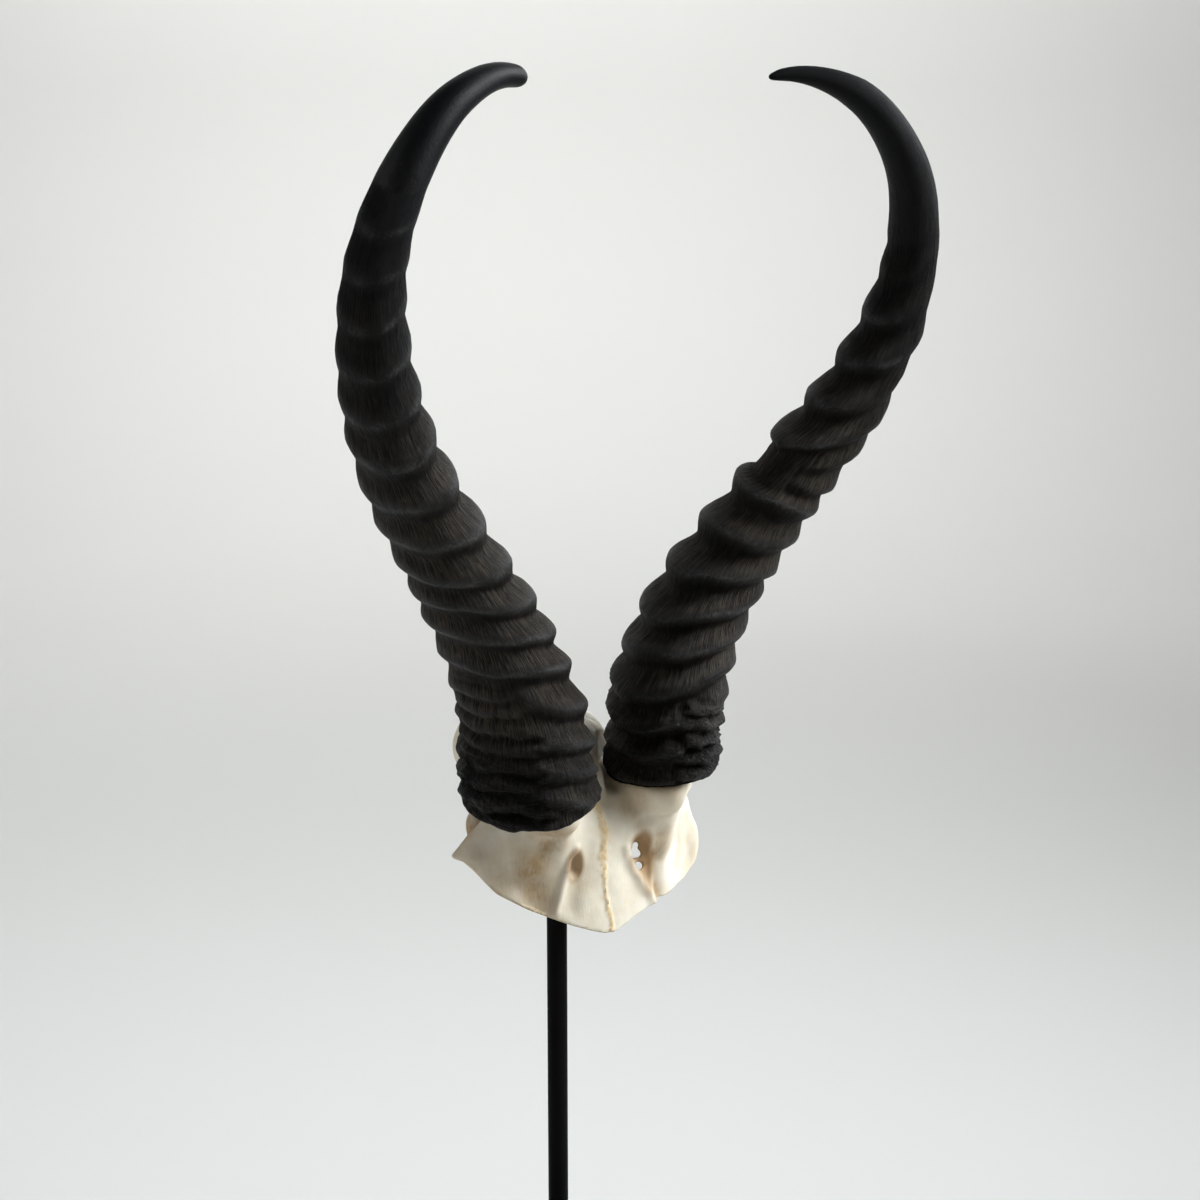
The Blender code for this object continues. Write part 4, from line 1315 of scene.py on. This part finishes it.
@dataclass
class Stand:
    """The rod, the disc and screws that hold the cap to it, and the base plate, all in mm."""

    base_side: float = 140
    base_thickness: float = 10
    base_edge: float = 1.2
    rod_radius: float = 4
    rod_seat: float = 6
    disc_radius: float = 11
    disc_thickness: float = 3
    screw_offset: float = 7.6
    screw_radius: float = 1.5
    screw_bite: float = 5
    head_radius: float = 2.8
    head_height: float = 1.8
    seat_z: float = 268.2
    screw_sides: int = 32
    round_sides: int = 72
    thread_pitch: float = 0.6
    thread_depth: float = 0.25
    screw_point: float = 1.6  # the thread starts this far below the screw's tip

    @property
    def disc_z(self) -> float:
        """The height of the disc's underside."""
        return self.seat_z - GAP - self.disc_thickness

    def rod(self) -> bpy.types.Mesh:
        """A round bar with small chamfers at both ends."""
        low, high = self.base_thickness - self.rod_seat + GAP, self.disc_z - GAP
        edge, nose, r = 0.5, 0.15, self.rod_radius
        bm = turned(((0, high), (r - edge, high), (r - nose, high - nose), (r, high - edge), (r, low + edge),
                     (r - nose, low + nose), (r - edge, low), (0, low)), self.round_sides)
        bmesh.ops.transform(bm, matrix=TO_METRES, verts=bm.verts)
        return to_mesh(bm, "rod")

    def disc(self) -> bpy.types.Mesh:
        """The fixing disc, with eased edges and two holes for the screws."""
        low, high, r, edge = self.disc_z, self.disc_z + self.disc_thickness, self.disc_radius, 0.4
        blank = turned(((0, high), (r - edge, high), (r, high - edge), (r, low + edge), (r - edge, low),
                        (0, low)), self.round_sides)
        bm = bmesh.new()
        for sign in (-1, 1):
            add_cylinder(bm, Matrix.Translation((sign * self.screw_offset, 0, (low + high) / 2)),
                         self.screw_radius + GAP, 3 * self.disc_thickness, sides=self.screw_sides)
        made = minus(to_mesh(blank, "disc_blank"), to_mesh(bm, "disc_holes"))
        made.transform(TO_METRES)
        return made

    def screw(self, sign: int) -> bpy.types.Mesh:
        """A pan-head screw with a cross recess and a shallow thread."""
        top, under = self.seat_z + self.screw_bite, self.disc_z - GAP
        r, head, pitch = self.screw_radius, self.head_radius, self.thread_pitch
        turns = int((top - self.screw_point - self.seat_z) / pitch)
        thread = [(r - self.thread_depth * (i % 2), top - self.screw_point - i * pitch / 2)
                  for i in range(2 * turns)]
        dome = [(head, under - 0.7), (head - 0.35, under - 1.25), (head - 1.1, under - 1.65),
                (0, under - self.head_height)]
        profile = [(0, top), (0.3, top - 0.2), *thread, (r, self.seat_z), (r, under), (head, under), *dome]
        blank = to_mesh(turned(profile, self.screw_sides), "screw_blank")
        bm = bmesh.new()
        for size in ((2.6, 0.6, 2.0, 1), (0.6, 2.6, 2.0, 1)):
            bmesh.ops.create_cube(bm, size=1, matrix=Matrix.Translation((0, 0, under - self.head_height))
                                  @ Matrix.Diagonal(size))
        made = minus(blank, evaluated(to_mesh(bm, "cross"), ("REMESH", {"mode": "SHARP", "octree_depth": 5})))
        made.transform(Matrix.Translation((sign * self.screw_offset * MM, 0, 0)) @ TO_METRES)
        return made

    def base(self) -> bpy.types.Mesh:
        """The square plate, with eased edges and a blind hole for the rod."""
        bm = bmesh.new()
        size = Matrix.Diagonal((self.base_side, self.base_side, self.base_thickness, 1))
        bmesh.ops.create_cube(bm, size=1, matrix=Matrix.Translation((0, 0, self.base_thickness / 2)) @ size)
        bmesh.ops.bevel(bm, geom=bm.edges[:], offset=self.base_edge, segments=4, profile=0.5, affect="EDGES",
                        material=-1)
        hole = bmesh.new()
        add_cylinder(hole, Matrix.Translation((0, 0, self.base_thickness - self.rod_seat + 10)),
                     self.rod_radius + GAP, 20, sides=self.round_sides)
        made = minus(to_mesh(bm, "base_blank"), to_mesh(hole, "rod_hole"))
        made.transform(TO_METRES)
        return made

    def build(self, steel: bpy.types.Material, zinc: bpy.types.Material) -> None:
        """Builds and places every piece of the stand.

        Args:
            steel: The black finish.
            zinc: The screws' finish.
        """
        Piece("rod_bar", "rod", Slot.BLACK_STEEL).place(self.rod(), steel, sharp=30)
        Piece("cap_disc", "fixing_disc", Slot.BLACK_STEEL).place(self.disc(), steel, sharp=30)
        Piece("plate", "base_plate", Slot.BLACK_STEEL).place(self.base(), steel, sharp=30)
        for side in Side:
            name = f"fixing_screw_{side.value}"
            Piece(f"pan_{name}", name, Slot.SCREW_STEEL).place(self.screw(side.sign), zinc, sharp=30)


# ---- the studio

HORN_BASES = (0, -0.03, 0.36)  # where most lights look, in metres


@dataclass(frozen=True)
class SoftLight:
    """A square soft box that looks at a point."""

    name: str
    place: Triple
    aim: Triple
    size: float
    power: float
    colour: Colour = (1, 1, 1)
    spread: float = 180  # degrees

    def build(self) -> None:
        """Hangs the light."""
        data = bpy.data.lights.new(self.name, "AREA")
        data.shape = "SQUARE"
        data.size = self.size
        data.energy = self.power
        data.color = self.colour
        data.spread = math.radians(self.spread)
        lamp = bpy.data.objects.new(self.name, data)
        bpy.context.scene.collection.objects.link(lamp)
        lamp.location = self.place
        lamp.rotation_mode = "QUATERNION"
        lamp.rotation_quaternion = (Vector(self.aim) - Vector(self.place)).to_track_quat("-Z", "Y")


@dataclass
class Studio:
    """The pale floor that sweeps up behind, the soft lights, and the camera in front on the -X side."""

    azimuth: float = 33.96  # the camera stands this far round from the front, on the -X side, in degrees
    elevation: float = 14
    camera_place: Triple = (-0.4268, -0.6641, 0.5218)
    lens: float = 64.37
    sweep_distance: float = 1.25
    sweep_radius: float = 0.5
    sweep_half_width: float = 3.0
    wall_height: float = 2.6
    floor_front: float = -3.0
    lights: tuple[SoftLight, ...] = (
        SoftLight("window", (1.2, -0.9, 1.25), HORN_BASES, 0.9, 5.6, (0.95, 0.975, 1.0), 50),
        SoftLight("side_window", (1.45, 0.15, 0.9), HORN_BASES, 0.9, 1.6, (0.93, 0.97, 1.0), 50),
        SoftLight("left_back", (-1.1, 0.55, 1.0), HORN_BASES, 0.9, 0.7, spread=50),
        SoftLight("warm_bounce", (-0.5, -1.4, 0.1), (0, 0, 0.25), 1.2, 0.4, (1.0, 0.8, 0.55), 80),
        SoftLight("wall_wash", (0.1, 0.45, 1.9), (0.75, 1.3, 0.95), 1.4, 16, spread=100),
        SoftLight("front_floor_wash", (-0.3, -1.6, 2.4), (-0.5, -2.6, 0), 1.4, 16, spread=100),
        SoftLight("left_floor_wash", (-1.7, 0.1, 2.4), (-2.7, 0.3, 0), 1.4, 12, spread=100))
    surround: float = 0.055  # how brightly the surround lights the object
    surround_seen: float = 0.72  # and how bright it looks

    def sweep(self, paper: bpy.types.Material) -> None:
        """The floor and backdrop: an outline spun at its bend and pulled out sideways."""
        bm = bmesh.new()
        bend = self.sweep_distance
        edge = [bm.verts.new((-self.sweep_half_width, y, 0)) for y in (self.floor_front, bend)]
        bm.edges.new(edge)
        turned_edge = bmesh.ops.spin(bm, geom=[edge[1]], axis=(1, 0, 0), cent=(0, bend, self.sweep_radius),
                                     angle=math.pi / 2, steps=24)
        last = vertices_of(turned_edge["geom_last"])[0]
        top = bmesh.ops.extrude_vert_indiv(bm, verts=[last])["verts"]
        bmesh.ops.translate(bm, vec=(0, 0, self.wall_height), verts=top)
        pulled = bmesh.ops.extrude_edge_only(bm, edges=bm.edges[:])["geom"]
        bmesh.ops.translate(bm, vec=(2 * self.sweep_half_width, 0, 0), verts=vertices_of(pulled))
        bmesh.ops.rotate(bm, cent=(0, 0, 0), matrix=Matrix.Rotation(-math.radians(self.azimuth), 3, "Z"),
                         verts=bm.verts)
        mesh = bpy.data.meshes.new("studio_sweep")
        bm.to_mesh(mesh)
        bm.free()
        mesh.materials.append(paper)
        mesh.shade_smooth()
        floor = bpy.data.objects.new("studio_sweep", mesh)
        bpy.context.scene.collection.objects.link(floor)
        floor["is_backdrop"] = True

    def camera(self) -> None:
        """The camera, level from side to side and looking down by its elevation."""
        data = bpy.data.cameras.new("studio_camera")
        data.lens = self.lens
        data.sensor_width = 36
        data.clip_start, data.clip_end = 0.01, 50
        made = bpy.data.objects.new("studio_camera", data)
        bpy.context.scene.collection.objects.link(made)
        made.location = self.camera_place
        made.rotation_euler = (math.radians(90 - self.elevation), 0, -math.radians(self.azimuth))
        bpy.context.scene.camera = made

    def world(self) -> None:
        """A dim, even, slightly cool surround, which shows pale behind the object."""
        world = bpy.data.worlds.new("studio_world")
        world.use_nodes = True
        background = world.node_tree.nodes["Background"]
        background.inputs["Color"].default_value = (0.93, 0.96, 1.0, 1)
        rays = world.node_tree.nodes.new("ShaderNodeLightPath")
        strength = world.node_tree.nodes.new("ShaderNodeMapRange")
        strength.inputs["To Min"].default_value = self.surround
        strength.inputs["To Max"].default_value = self.surround_seen
        world.node_tree.links.new(rays.outputs["Is Camera Ray"], strength.inputs["Value"])
        world.node_tree.links.new(strength.outputs["Result"], background.inputs["Strength"])
        bpy.context.scene.world = world

    def build(self, paper: bpy.types.Material) -> None:
        """Sets up the floor, lights, surround and camera."""
        self.sweep(paper)
        for light in self.lights:
            light.build()
        self.world()
        self.camera()
        bpy.context.scene.view_settings.view_transform = "Standard"


def main() -> None:
    """Builds the horns, the cap, the stand and the studio."""
    logging.basicConfig(level=logging.INFO, format="%(name)s %(message)s")
    horn, bone = HornKeratin().build(), DryBone().build()
    for side in Side:
        sheath = HornSheath(f"ringed_sheath_{side.value}", f"horn_{side.value}", Slot.HORN, side=side)
        sheath.place(sheath.build(), horn, sharp=70)
    cap = SkullCap("sawn_skull_cap", "skull_cap", Slot.BONE)
    cap.place(cap.build(), bone, sharp=60)
    Stand().build(BlackSteel().build(), ZincSteel().build())
    Studio().build(StudioPaper().build())
    boxes = {"cad": CAD_BOX, "visual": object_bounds()}
    boxes = {name: [list(corner) for corner in box] for name, box in boxes.items()}


if __name__ == "__main__":
    main()
